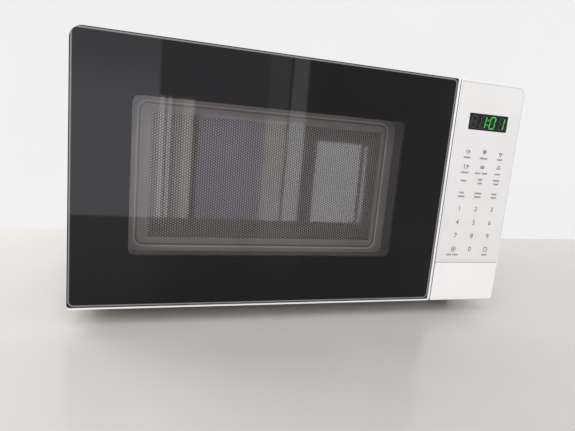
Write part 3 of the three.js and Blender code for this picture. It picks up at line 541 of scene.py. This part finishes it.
def joined(name, pieces):
    deselect()
    for piece in pieces:
        piece.select_set(True)
    bpy.context.view_layer.objects.active = pieces[0]
    bpy.ops.object.join()
    piece = bpy.context.object
    piece.name = name
    return piece


def merge_close(distance):
    """In edit mode, merges the points that lie closer than distance."""
    bpy.ops.mesh.select_all(action="SELECT")
    bpy.ops.mesh.remove_doubles(threshold=distance)


def softened(name, node, width, segments=2):
    """A copy of a CAD node's shape with its hard edges rounded."""
    take(frame["nodes"][node])
    bpy.ops.object.duplicate()
    piece = bpy.context.object
    piece.name = name
    piece.parent = None
    for label_of_node in list(piece.keys()):
        del piece[label_of_node]
    with shaping(piece):
        bpy.ops.mesh.select_all(action="SELECT")
        bpy.ops.mesh.customdata_custom_splitnormals_clear()
        merge_close(0.001 * MM)
        bpy.ops.mesh.dissolve_limited(angle_limit=radians(0.5))
    limits = {"limit_method": "ANGLE", "angle_limit": radians(HARD_EDGE), "use_clamp_overlap": True}
    modify(piece, "BEVEL", width=width, segments=segments, **limits)
    with shaping(piece):
        merge_close(0.0005 * MM)
    smooth(piece)
    return piece


def turned(name, millimetres, steps=64, closed=False):
    """A round piece drawn out ring by ring from (radius, height) points, standing at the origin."""
    deselect()
    profile = [(radius * MM, height * MM) for radius, height in millimetres]
    radius, height = profile[0]
    bpy.ops.mesh.primitive_circle_add(vertices=steps, radius=radius, location=(0, 0, height))
    piece = bpy.context.object
    piece.name = name
    settle(piece)
    rings = profile[1:] + ([profile[0]] if closed else [])
    with shaping(piece):
        bpy.ops.mesh.select_all(action="SELECT")
        for next_radius, next_height in rings:
            rise = {"value": (0, 0, next_height - height)}
            bpy.ops.mesh.extrude_region_move(TRANSFORM_OT_translate=rise)
            share = next_radius / radius
            bpy.ops.transform.resize(value=(share, share, 1), center_override=(0, 0, next_height))
            radius, height = next_radius, next_height
        merge_close(0.001 * MM)
        if not closed:
            bpy.ops.mesh.select_all(action="SELECT")
            bpy.ops.mesh.fill_holes(sides=0)
        bpy.ops.mesh.select_all(action="SELECT")
        bpy.ops.mesh.normals_make_consistent(inside=False)
    smooth(piece)
    return piece


def copied(piece, names, places):
    """Copies of a finished piece, each with its own mesh, moved to their places."""
    made = []
    for name, place in zip(names, places):
        take(piece)
        bpy.ops.object.duplicate()
        copy = bpy.context.object
        copy.name = name
        copy.location = place
        settle(copy)
        made.append(copy)
    bpy.data.objects.remove(piece)
    return made


def placed(piece, place, turn=(0, 0, 0)):
    piece.location, piece.rotation_euler = place, turn
    settle(piece)
    return piece


def bevelled(piece, width, segments, test):
    with shaping(piece):
        pick("EDGE", test)
        bpy.ops.mesh.bevel(offset=width, segments=segments, affect="EDGES")
    return piece


def dress(piece, finish):
    piece.data.materials.clear()
    piece.data.materials.append(finish)


def fit(piece, body, slot, finish, *nodes):
    """Gives a finished piece its body and its finish, and hides any CAD nodes that it stands for."""
    dress(piece, finish)
    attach(piece, body)
    if nodes:
        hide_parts(*nodes)


# ---- Sizes, taken from the frame where it has them ----
GLASS_LOW, GLASS_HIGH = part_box("door_glass")
FILM_LOW, FILM_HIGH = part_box("membrane_keypad")
LENS_LOW, LENS_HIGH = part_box("display_window")
CABINET_LOW, CABINET_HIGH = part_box("outer_cabinet")
TABLE = sum(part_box("glass_tray"), Vector()) / 2
DOOR_GAP_X = 142.9 * MM
BUTTON_GAP_Z = 61.25 * MM
TOP_CORNER = 10.5 * MM
SMALL_CORNER = 2.5 * MM
GROOVE = (
    Vector((GLASS_LOW.x + 54.3 * MM, 0, GLASS_LOW.z + 52.4 * MM)),
    Vector((GLASS_LOW.x + 303.3 * MM, 0, GLASS_HIGH.z - 53.7 * MM)),
)
GROOVE_CORNER = 8 * MM
WINDOW = (
    Vector((GLASS_LOW.x + 49.5 * MM, 0, GLASS_LOW.z + 48.4 * MM)),
    Vector((GLASS_LOW.x + 311.4 * MM, 0, GLASS_HIGH.z - 49.9 * MM)),
)


def door_glass():
    corners = [SMALL_CORNER, 1 * MM, 1 * MM, TOP_CORNER]
    piece = plate("door_glass_pane", GLASS_LOW, GLASS_HIGH, corners, 0.8 * MM, steps=12)
    fit(piece, "door", "door_black_glass", door_glass_finish(), "door_glass")


def door_screen():
    """The steel panel with its opening, and the field of fine holes that fills it."""
    panel = softened("door_steel_pressing", "door_steel_panel", 0.5 * MM)
    field_low = Vector((GLASS_LOW.x + 65.6 * MM, -150.2 * MM, 79.3 * MM))
    field_high = Vector((GLASS_LOW.x + 297.3 * MM, -148 * MM, 195.4 * MM))
    cut(panel, block("cutter", field_low, field_high))
    cut(panel, groove_ring())
    smooth(panel)
    fit(panel, "door", "screen_paint", screen_paint(), "door_steel_panel")
    fit(perforated_sheet(field_low, field_high), "door", "screen_paint", mesh_paint())


def groove_ring():
    """The ring that presses the groove into the panel, just inside the step in the sheet."""
    low, high = GROOVE
    rings = []
    for name, inwards in (("outer", 0.4 * MM), ("inner", 1.7 * MM)):
        corner = Vector((inwards, 0, inwards))
        front, back = Vector((0, -150.3 * MM, 0)), Vector((0, -149.3 * MM, 0))
        slab = block(name, low + corner + front, high - corner + back)
        rings.append(bevelled(slab, GROOVE_CORNER - inwards, 8, lambda e: along(e, 1)))
    cut(rings[0], rings[1])
    return rings[0]


def perforated_sheet(low, high):
    """Holes in a hexagonal pattern: one ring is repeated in two staggered columns, then across and up."""
    pitch, hole_radius, thickness = 2.55 * MM, 0.8 * MM, 0.6 * MM
    front = -149.7 * MM
    column = pitch * sqrt(3) / 2
    start = (low.x - 0.5 * column, front, low.z - 0.4 * pitch)
    deselect()
    bpy.ops.mesh.primitive_circle_add(vertices=6, radius=pitch / sqrt(3), fill_type="NGON")
    piece = bpy.context.object
    piece.location, piece.rotation_euler = start, (pi / 2, pi / 6, 0)
    piece.name = "door_screen_mesh"
    settle(piece)
    with shaping(piece):
        bpy.ops.mesh.select_all(action="SELECT")
        bpy.ops.mesh.inset(thickness=pitch / 2 - hole_radius)
        bpy.ops.mesh.delete(type="FACE")
    repeat(piece, 2, (column, 0, pitch / 2))
    repeat(piece, round((high.x - low.x) / (2 * column)) + 1, (2 * column, 0, 0))
    repeat(piece, round((high.z - low.z) / pitch) + 1, (0, 0, pitch))
    with shaping(piece):
        merge_close(0.01 * MM)
        bpy.ops.mesh.normals_make_consistent(inside=False)
    modify(piece, "SOLIDIFY", thickness=thickness, offset=-1)
    return piece


def display():
    """The smoked lens with the clock's lit and unlit segments on it."""
    lens = plate("display_lens_window", LENS_LOW, LENS_HIGH, [0.8 * MM] * 4, 0.3 * MM, steps=4)
    fit(lens, "chassis", "display_lens", display_lens(), "display_window")
    lit, unlit = clock_segments()
    fit(lit, "chassis", "display_lens", glow("lit_segment", (0.004, 0.5, 0.02), 1.15))
    # The unlit segments glow faintly as well. This is painted light for how they show grey behind the
    # lens, since they are not lit.
    fit(unlit, "chassis", "display_lens", glow("unlit_segment", (0.012, 0.013, 0.013), 0.25))


SEGMENT_ENDS = {
    "a": ((0, 2), (1, 2)),
    "b": ((1, 2), (1, 1)),
    "c": ((1, 1), (1, 0)),
    "d": ((0, 0), (1, 0)),
    "e": ((0, 1), (0, 0)),
    "f": ((0, 2), (0, 1)),
    "g": ((0, 1), (1, 1)),
}
SEGMENTS_OF = {" ": "", "0": "abcdef", "1": "bc"}


def clock_segments():
    """The time 1:01 in seven-segment digits that lean to the right."""
    digit_width, half_height, stroke = 6.2 * MM, 6.1 * MM, 1.5 * MM
    front, back = LENS_LOW.y - 0.06 * MM, LENS_LOW.y + 0.05 * MM
    foot = LENS_LOW.z + 2.3 * MM
    lefts = [LENS_LOW.x + step * MM for step in (3, 14.8, 26.6, 38.4)]
    lit, unlit = [], []

    def bar(left, ends):
        """One segment. It stops short of its neighbours and is a stroke wide."""
        (x0, z0), (x1, z1) = ends
        across = sorted((left + x0 * digit_width, left + x1 * digit_width))
        up = sorted((foot + z0 * half_height, foot + z1 * half_height))
        short, wide = -0.25 * MM, 0.5 * stroke
        grow_x, grow_z = (short, wide) if z0 == z1 else (wide, short)
        low = (across[0] - grow_x, front, up[0] - grow_z)
        high = (across[1] + grow_x, back, up[1] + grow_z)
        return bevelled(block("segment", low, high), 0.98 * wide, 1, lambda e: along(e, 1))

    for left, digit in zip(lefts, " 101"):
        for segment, ends in SEGMENT_ENDS.items():
            (lit if segment in SEGMENTS_OF[digit] else unlit).append(bar(left, ends))
    colon = (lefts[1] + digit_width + lefts[2]) / 2
    dot = 0.75 * MM
    for height in (0.6, 1.4):
        centre = foot + height * half_height
        lit.append(block("dot", (colon - dot, front, centre - dot), (colon + dot, back, centre + dot)))
    pieces = [joined("clock_digits", lit), joined("clock_unlit_segments", unlit)]
    lean = Matrix(((1, 0, sin(radians(8)), 0), (0, 1, 0, 0), (0, 0, 1, 0), (0, 0, 0, 1)))
    about = Matrix.Translation((0, 0, foot + half_height))
    for piece in pieces:
        piece.data.transform(about @ lean @ about.inverted())
    return pieces


# ---- Control panel ----
KEY_COLUMNS = [(FILM_LOW.x + FILM_HIGH.x) / 2 + 0.4 * MM + step * 21.4 * MM for step in (-1, 0, 1)]
INK_FRONT = FILM_LOW.y - 0.04 * MM
INK_BACK = FILM_LOW.y + 0.05 * MM
TOP_PICTOGRAMS, LOWER_PICTOGRAMS, BOTTOM_ROW = 184.5 * MM, 168.8 * MM, 76.3 * MM
FIRST_DIGITS, DIGIT_STEP = 122.2, 15.3  # millimetres
LABELS = [  # column, height in millimetres, and how many letters each word has
    (0, 178.4, 6), (1, 178.4, 7), (2, 178.4, 5),
    (0, 162.1, 7), (1, 162.1, 5, 5), (2, 162.1, 5),
    (0, 153.1, 5), (1, 155.1, 4), (1, 151.1, 4), (2, 155.1, 6), (2, 151.1, 5),
    (0, 139.9, 4), (0, 135.9, 6), (1, 139.9, 6), (1, 135.9, 6), (2, 139.9, 5), (2, 135.9, 5),
    (0, 70, 4, 5), (2, 70, 5),
]


def control_panel():
    """Housing, open button and keypad, with the door's frame, which is moulded in the same white."""
    whites = [(0.9, 0.892, 0.885), (0.865, 0.857, 0.85)]
    grain = (0.5 * MM, 0.012 * MM)
    plastic = moulded("white_moulding", *whites, 0.28, *grain, jointed=True)
    welled = moulded("door_frame_moulding", *whites, 0.28, *grain, dark_well=True, jointed=True)
    housing = softened("control_panel_shell", "control_panel_housing", 0.25 * MM)
    fit(housing, "chassis", "white_plastic", plastic, "control_panel_housing")
    button = softened("door_open_push", "door_open_button", 0.4 * MM, segments=3)
    fit(button, "open_button", "white_plastic", plastic, "door_open_button")
    rim = softened("door_frame_moulding", "door_frame", 0.5 * MM)
    fit(rim, "door", "white_plastic", welled, "door_frame")
    film = plate("keypad_sheet", FILM_LOW, FILM_HIGH, [1 * MM, 1 * MM, 8.5 * MM, 1 * MM], 0.12 * MM)
    gap = Vector((0.3 * MM, 2 * MM, 0.3 * MM))
    cut(film, block("cutter", LENS_LOW - gap, LENS_HIGH + gap))
    smooth(film)
    fit(film, "chassis", "keypad_film", keypad_film(), "membrane_keypad")
    fit(joined("keypad_legends", key_legends()), "chassis", "keypad_film", printed_ink())


def inked(x0, x1, z0, z1):
    return block("ink", (x0, INK_FRONT, z0), (x1, INK_BACK, z1))


def label(x, z, *words):
    """Short generic marks in place of words, one bar for each letter, centred on x."""
    letter, step, gap = 0.75 * MM, 1.45 * MM, 1.5 * MM
    width = sum(words) * step + (len(words) - 1) * gap
    left = x - width / 2
    made = []
    for count in words:
        low = z - 1 * MM
        tall = inked(left, left + letter, low, z + 1.2 * MM)
        short = inked(left + step, left + step + 1.3 * letter, low, z + 0.6 * MM)
        repeat(tall, (count + 1) // 2, (2 * step, 0, 0))
        repeat(short, count // 2, (2 * step, 0, 0))
        made += [tall, short]
        left += count * step + gap
    return made


def numeral(x, z, digit):
    deselect()
    bpy.ops.object.text_add(location=(x, INK_FRONT, z), rotation=(pi / 2, 0, 0))
    text = bpy.context.object
    text.data.body = digit
    text.data.size = 7.3 * MM
    text.data.align_x = "CENTER"
    text.data.align_y = "CENTER"
    text.data.extrude = 0.03 * MM
    bpy.ops.object.convert(target="MESH")
    settle(text)
    return text


def ring(x, z, radius, stroke, sides=24, squash=1.0, turn=0.0):
    """A line drawn round a circle, an oval or a many-sided figure."""
    deselect()
    bpy.ops.mesh.primitive_circle_add(vertices=sides, radius=radius, fill_type="NGON")
    piece = bpy.context.object
    piece.rotation_euler = (pi / 2, turn, 0)
    piece.scale = (1, squash, 1)
    piece.location = (x, INK_FRONT, z)
    settle(piece)
    with shaping(piece):
        bpy.ops.mesh.select_all(action="SELECT")
        bpy.ops.mesh.inset(thickness=stroke)
        bpy.ops.mesh.delete(type="FACE")
    modify(piece, "SOLIDIFY", thickness=INK_BACK - INK_FRONT, offset=-1)
    return piece


def key_legends():
    """Plain pictograms on the upper keys, bars in place of words, and the digits."""
    left, centre, right = KEY_COLUMNS
    line = 0.6 * MM
    row = TOP_PICTOGRAMS
    made = [ring(left, row, 2.6 * MM, line, squash=0.75), ring(left + 0.8 * MM, row, 0.7 * MM, line)]
    for x, z in ((-1.3, 0.9), (1.3, 0.9), (0, -0.6), (0, 2.2)):
        made.append(ring(centre + x * MM, row + z * MM, 1.2 * MM, line, sides=12))
    made.append(ring(right, row - 0.4 * MM, 2.9 * MM, line, sides=3, turn=pi / 3))
    for x, z in ((-0.8, 0), (0.8, -0.4)):
        made.append(ring(right + x * MM, row + z * MM, 0.5 * MM, line / 2, sides=8))
    row = LOWER_PICTOGRAMS
    cup_left, cup_right = left - 2.2 * MM, left + 1.6 * MM
    made += [
        inked(cup_left, cup_left + line, row - 2 * MM, row + 2.2 * MM),
        inked(cup_right, cup_right + line, row - 2 * MM, row + 2.2 * MM),
        inked(cup_left, cup_right + line, row - 2.4 * MM, row - 1.9 * MM),
        inked(cup_left, cup_right + line, row + 0.8 * MM, row + 1.2 * MM),
        ring(cup_right + 1.2 * MM, row, 1.2 * MM, line, sides=14),
        ring(centre, row, 2.7 * MM, line, squash=0.7),
        ring(centre, row, 1.5 * MM, line, squash=0.7),
        ring(right, row - 0.3 * MM, 2.7 * MM, line, squash=0.45),
    ]
    for x in (-1.2, 0, 1.2):
        steam = right + x * MM
        made.append(inked(steam, steam + line, row + 1.3 * MM, row + 3 * MM))
    for number in range(9):
        height = (FIRST_DIGITS - DIGIT_STEP * (number // 3)) * MM
        made.append(numeral(KEY_COLUMNS[number % 3], height, str(number + 1)))
    row = BOTTOM_ROW
    made += [
        numeral(centre, row, "0"),
        ring(left, row, 2.9 * MM, line),
        ring(left, row, 1.4 * MM, line, sides=4, turn=pi / 4),
        ring(right, row, 2.9 * MM, line),
        inked(right - line / 2, right + line / 2, row, row + 1.9 * MM),
    ]
    for column, height, *words in LABELS:
        made += label(KEY_COLUMNS[column], height * MM, *words)
    return made


# ---- Casing ----
SHEET = 1 * MM


def cabinet(paint):
    """Folded steel wrap with rounded top edges, cooling slots and a flange round its back."""
    low, high = CABINET_LOW, CABINET_HIGH
    flange = 14 * MM
    wrap = block("cabinet_wrap", low, high)
    with shaping(wrap):
        pick("FACE", lambda face: face.normal.y > 0.9)
        bpy.ops.mesh.inset(thickness=flange)
        bpy.ops.mesh.delete(type="FACE")
        pick("FACE", lambda face: face.normal.z < -0.9 or face.normal.y < -0.9)
        bpy.ops.mesh.delete(type="FACE")
        pick("FACE", lambda face: face.normal.y > 0.9 and face.calc_center_median().z < low.z + flange)
        bpy.ops.mesh.delete(type="FACE")
        pick("EDGE", lambda e: along(e, 1) and middle(e).z > high.z - 1e-6)
        bpy.ops.mesh.bevel(offset=TOP_CORNER - SHEET, segments=12, affect="EDGES")
    modify(wrap, "SOLIDIFY", thickness=SHEET, offset=-1, use_even_offset=True)
    for side, first in ((low.x, 62 * MM), (high.x, -96 * MM)):
        start = Vector((side - 3 * MM, first, 44 * MM))
        slot = block("slot", start, start + Vector((6, 30, 3)) * MM)
        bevelled(slot, 1.4 * MM, 4, lambda e: along(e, 0))
        repeat(slot, 2, (0, 38 * MM, 0))
        repeat(slot, 6, (0, 0, 12 * MM))
        cut(wrap, slot)
    smooth(wrap, 30)
    fit(wrap, "chassis", "white_paint", paint, "outer_cabinet")


def feet():
    profile = [(6, 1.2), (7.2, 0.3), (8, 0), (11.4, 0), (12.5, 0.5), (13, 1.6), (13, 4.4), (12.7, 5.3)]
    foot = turned("foot", profile + [(11, 13.2), (10.5, 14.9), (10.5, 17.6), (10.2, 17.9)])
    corners = [f"foot_{place}" for place in ("front_left", "front_right", "rear_left", "rear_right")]
    boxes = [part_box(corner) for corner in corners]
    places = [((low.x + high.x) / 2, (low.y + high.y) / 2, 0) for low, high in boxes]
    finish = rubber()
    for piece, node in zip(copied(foot, [f"{corner}_rubber" for corner in corners], places), corners):
        fit(piece, "chassis", "foot_rubber", finish, node)


def rear_fittings(black):
    """Pan-head screws with crossed slots, and the bush that the mains lead passes through."""
    behind = (-pi / 2, 0, 0)
    shank = [(1.2, -8), (1.9, -7), (1.9, 0.3)]
    head = [(3.8, 0.3), (4, 0.5), (4, 0.8), (3.6, 1.3), (2.8, 1.65), (1.6, 1.8)]
    screw = turned("screw", shank + head, steps=40)
    for turn in (0, pi / 2):
        bar = block("cutter", Vector((-2, -0.4, 0.9)) * MM, Vector((2, 0.4, 3)) * MM)
        cut(screw, placed(bar, (0, 0, 0), (0, 0, turn)))
    smooth(placed(screw, (0, 0, 0), behind))
    nodes = [f"cabinet_screw_{number}" for number in (1, 2, 3, 4)]
    boxes = [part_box(node) for node in nodes]
    places = [((low.x + high.x) / 2, CABINET_HIGH.y, (low.z + high.z) / 2) for low, high in boxes]
    finish = plated_screw()
    for piece, node in zip(copied(screw, [f"{node}_head" for node in nodes], places), nodes):
        fit(piece, "chassis", "bare_steel", finish, node)
    low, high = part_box("cord_gland")
    section = [(3.6, 0.5), (4.2, 0), (9, 0), (9.5, 0.5), (9.5, 5.7), (7.6, 5.7), (7.6, 7.3), (10, 7.3)]
    section += [(10.5, 7.8), (10.5, 8.6), (9.6, 9.8), (8.4, 10.3), (4.6, 10.3), (3.9, 10), (3.6, 9.3)]
    gland = turned("cord_gland_bush", section, steps=56, closed=True)
    placed(gland, ((low.x + high.x) / 2, low.y, (low.z + high.z) / 2), behind)
    fit(gland, "chassis", "black_plastic", black, "cord_gland")


# ---- Turntable ----
AXLE_HEIGHT = 49 * MM


def around(angle, radius, height):
    """A point round the turntable's axis."""
    turn = radians(angle)
    return TABLE.x + radius * cos(turn), TABLE.y + radius * sin(turn), height


def turntable(nylon):
    """Pressed glass tray on its lugs, with the ring and the three wheels that carry it."""
    underside = [(1, 58), (94, 58), (98, 58.5), (116.5, 65.2), (121.6, 67.4), (122.4, 68.5), (122.5, 69.5)]
    upper = [(122.1, 70.2), (121.2, 70.5), (120, 70.3), (97, 63.4), (94, 62.5), (64, 62.5), (63, 63)]
    inner = [(59, 63), (58, 62.5), (24, 62.5), (23, 62.9), (20, 62.9), (19, 62.5), (1, 62.5)]
    dish = placed(turned("dish", underside + upper + inner, steps=120), (TABLE.x, TABLE.y, 0))
    parts = [dish]
    for angle in (30, 150, 270):
        lug = block("lug", Vector((11, -3, 54)) * MM, Vector((17, 3, 58.6)) * MM)
        bevelled(lug, 1.2 * MM, 4, lambda e: along(e, 2) or middle(e).z < 54.1 * MM)
        smooth(lug)
        parts.append(placed(lug, (TABLE.x, TABLE.y, 0), (0, 0, radians(angle))))
    tray = joined("tray_dish", parts)
    fit(tray, "tray", "tray_glass", tray_glass(), "glass_tray")
    section = [(74, 47), (75, 46), (79, 46), (80, 47), (80, 51), (79, 52), (75, 52), (74, 51)]
    parts = [placed(turned("hoop", section, steps=96, closed=True), (TABLE.x, TABLE.y, 0))]
    tread = [(2.3, -3), (8.1, -3), (8.7, -2.4), (8.7, 2.4), (8.1, 3)]
    hollow = [(6.6, 3), (6.2, 2.2), (4, 2.2), (3.7, 3), (2.3, 3)]
    for number, angle in enumerate((90, 210, 330), 1):
        outwards = (0, pi / 2, radians(angle))
        axle = turned("axle", [(2, 0), (2, 12), (3.2, 12), (3.4, 12.3), (3.4, 13), (3, 13.5)], steps=24)
        parts.append(placed(axle, around(angle, 78 * MM, AXLE_HEIGHT), outwards))
        wheel = turned(f"roller_{number}_wheel", tread + hollow, steps=48, closed=True)
        placed(wheel, around(angle, 86 * MM, AXLE_HEIGHT), outwards)
        fit(wheel, f"roller_{number}", "nylon", nylon, f"roller_{number}")
    fit(joined("roller_hoop", parts), "roller_ring", "nylon", nylon, "roller_ring")


# ---- Rounded copies of CAD nodes, and the nodes that stay as they are ----
ROUNDING = {  # millimetres
    "rear_panel": 0.2,
    "base_plate": 0.25,
    "cavity_front_plate": 0.25,
    "cavity_box": 0.3,
    "choke_cover": 0.5,
    "latch_lever": 0.7,
    "upper_hinge": 0.35,
    "lower_hinge": 0.35,
    "waveguide_cover": 0.2,
    "drive_coupler": 0.6,
    "lamp_socket": 0.6,
    "thermal_cutout": 0.4,
    "magnetron": 0.25,
    "magnetron_filter_box": 0.6,
    "transformer_core": 0.5,
    "transformer_windings": 1.5,
    "high_voltage_capacitor": 0.6,
    "capacitor_clamp": 0.3,
    "fan_housing": 0.5,
    "fan_motor": 0.8,
    "fan_blade": 0.4,
    "air_duct": 0.4,
    "turntable_motor": 0.5,
    "latch_bracket": 0.5,
    "door_switch_upper": 0.5,
    "door_switch_monitor": 0.5,
    "door_switch_lower": 0.5,
    "release_lever": 0.5,
    "display_module": 0.4,
    "control_board": 0.3,
    "noise_filter_board": 0.3,
    "waveguide": 0.25,
    "cavity_lamp": 0.3,
    "high_voltage_diode": 0.2,
}


def shared_finishes():
    """Finishes by material slot. Runs after control_panel, which makes the white moulding."""
    nylon = ("natural_nylon", (0.74, 0.72, 0.64), (0.66, 0.63, 0.54), 0.38, 0.6 * MM, 0.02 * MM)
    black = ("black_moulding", (0.026, 0.026, 0.027), (0.016, 0.016, 0.017), 0.42, 0.5 * MM, 0.03 * MM)
    grey = ("grey_moulding", (0.22, 0.22, 0.23), (0.17, 0.17, 0.18), 0.42, 0.5 * MM, 0.03 * MM)
    return {
        "bare_steel": galvanised_steel(),
        "cavity_paint": cavity_enamel(),
        "mica": mica(),
        "lamp_glass": clear_sheet("lamp_glass", (0.95, 0.93, 0.88), 1.5, 8 * MM),
        "black_plastic": moulded(*black),
        "aluminium": cast_aluminium(),
        "copper_winding": enamelled_wire(),
        "grey_plastic": moulded(*grey),
        "nylon": moulded(*nylon),
        "circuit_board": circuit_board(),
        "white_plastic": bpy.data.materials["white_moulding"],
        "inner_film": clear_sheet("inner_film", (0.88, 0.89, 0.89), 1.35, 25 * MM, haze_share=0.6),
    }


def carried_over(finishes):
    """Makes the rounded copies. A node that no piece stands for only gets its finish."""
    bodies = frame["record"]["behaviour"]["bodies"]
    body_of = {node: body for body, nodes in bodies.items() for node in nodes}
    for part in frame["record"]["subparts"]:
        name, slot = part["node"], part["material_slot"]
        node = frame["nodes"][name]
        if name in ROUNDING:
            piece = softened(f"{name}_rounded", name, ROUNDING[name] * MM)
            fit(piece, body_of[name], slot, finishes[slot], name)
        elif not node.hide_render:
            node.material_slots[0].material = finishes[slot]


# ---- Room ----
# The worktop is split at FLOOR_EDGE: only the part behind it is mirrored in the door.
FLOOR_EDGE = GLASS_LOW.y - 0.49
WALL_Y = CABINET_HIGH.y + 0.03


def staged(name, place, turn, width, length, finish):
    """A flat sheet of the room."""
    deselect()
    bpy.ops.mesh.primitive_plane_add(size=1, location=place, rotation=turn)
    sheet = bpy.context.object
    sheet.name = name
    sheet.scale = (width, length, 1)
    settle(sheet)
    dress(sheet, finish)
    return sheet


def floor_part(name, front, back, finish):
    return staged(name, (0, (front + back) / 2, 0), (0, 0, 0), 8, back - front, finish)


# What stands in the room before the oven, for the door's glass to mirror: upright stretches, given by
# how far to the right each one's left and right edges lie for each metre ahead, its top, how soft that
# top is, and its tint.
SHARP = 0.002
SIGHTS = [
    (-9, -0.2, 9, SHARP, (1.5, 1.5, 1.52)),
    (-0.2, 0.013, 9, SHARP, (1.75, 1.72, 1.85)),
    (-0.2, 0.013, 0.1, 0.07, (2.4, 2.4, 2.6)),
    (0.013, 0.244, 9, SHARP, (1.0, 0.95, 1.0)),
    (0.013, 0.0246, 0.05, SHARP, (3.8, 3.8, 3.9)),
    (0.030, 0.038, 0.05, SHARP, (3.8, 3.8, 3.9)),
    (0.045, 0.062, 0.05, SHARP, (2.0, 1.92, 1.84)),
    (0.062, 0.084, 0.05, SHARP, (3.0, 2.95, 2.9)),
    (0.084, 0.0966, 0.02, SHARP, (0.4, 0.4, 0.42)),
    (0.0966, 0.244, 0.02, SHARP, (1.5, 1.5, 1.8)),
    (0.16, 0.166, 0.02, SHARP, (1.7, 1.75, 2.2)),
    (0.244, 0.292, 9, SHARP, (1.3, 1.27, 1.28)),
    (0.244, 0.292, 0.02, SHARP, (2.75, 2.66, 2.62)),
    (0.2985, 0.3355, 9, SHARP, (1.9, 1.85, 1.9)),
    (0.2985, 0.3355, 0.02, SHARP, (3.0, 3.0, 3.15)),
    (0.37, 0.485, -0.016, SHARP, (3.2, 3.2, 3.3)),
    (0.495, 0.503, -0.02, SHARP, (3.2, 3.2, 3.2)),
    (1.0, 9, 9, SHARP, (1.5, 1.5, 1.5)),
]


def room():
    """A pale worktop before a wall, in a bright room that the door mirrors."""
    top = worktop()
    floor_part("worktop_near", FLOOR_EDGE, 4, top)
    floor_part("worktop_front", -4, FLOOR_EDGE, top).visible_glossy = False
    wall = staged("backdrop", (0, WALL_Y, 1.5), (pi / 2, 0, 0), 12, 3, backdrop_paint())
    wall.visible_diffuse = wall.visible_shadow = False
    f = Finish("room", "worlds", "Generated")
    facing = (-1 * f.y).rise(0.15, 0.5)
    ahead = (-1 * f.y).highest(0.05)
    across, up = f.x / ahead, f.z / ahead
    sight = f.blend(up.rise(0.3, 0.5), (0.65, 0.64, 0.66), (0.85, 0.85, 0.86))
    for left, right, top, soft, tint in SIGHTS:
        sides = across.rise(left - SHARP, left + SHARP) * (1 - across.rise(right - SHARP, right + SHARP))
        sight = f.blend(sides * (1 - up.rise(top - soft, top + soft)), sight, tint)
    around_oven = f.blend(facing, (0.9, 0.895, 0.89), sight)
    seen_directly = f.node("ShaderNodeLightPath", output="Is Camera Ray")
    colour = f.blend(seen_directly, around_oven, (0.88, 0.88, 0.885))
    background = f.node("ShaderNodeBackground", inputs={"Color": colour, "Strength": 1.0})
    bpy.context.scene.world = f.done(background, "ShaderNodeOutputWorld")


def lamp(name, place, target, width, height, power):
    light = bpy.data.lights.new(name, "AREA")
    light.shape = "RECTANGLE"
    light.size, light.size_y = width, height
    light.energy = power
    lamp_object = bpy.data.objects.new(name, light)
    bpy.context.scene.collection.objects.link(lamp_object)
    lamp_object.location = place
    lamp_object.rotation_euler = (Vector(target) - Vector(place)).to_track_quat("-Z", "Y").to_euler()
    lamp_object.visible_camera = False


def lights():
    lamp("overhead", (-0.3, -1.05, 1.3), (0, -0.1, 0.1), 1.6, 1.0, 3.7)
    lamp("rear_left", (-1.1, 0.65, 0.8), (-0.6, 0.35, 0), 0.9, 0.6, 9)


def camera():
    """Stands in front of the door's left part, a little above its middle, looking right and down."""
    deselect()
    bpy.ops.object.camera_add(location=(-160.7 * MM, -583 * MM, 189.1 * MM))
    view = bpy.context.object
    heading, pitch, roll = radians(-17.3), radians(-9.28), radians(5.16)
    turn = Matrix.Rotation(heading, 4, "Z") @ Matrix.Rotation(pi / 2 + pitch, 4, "X")
    view.rotation_euler = (turn @ Matrix.Rotation(roll, 4, "Z")).to_euler()
    view.data.sensor_width = 36
    view.data.lens = 28.2
    view.data.shift_y = -0.0186
    view.data.clip_start = 0.01
    bpy.context.scene.camera = view


door_glass()
door_screen()
display()
control_panel()
finishes = shared_finishes()
cabinet(cabinet_paint())
feet()
rear_fittings(finishes["black_plastic"])
turntable(finishes["nylon"])
carried_over(finishes)
room()
lights()
camera()
bpy.context.scene.view_settings.view_transform = "Standard"
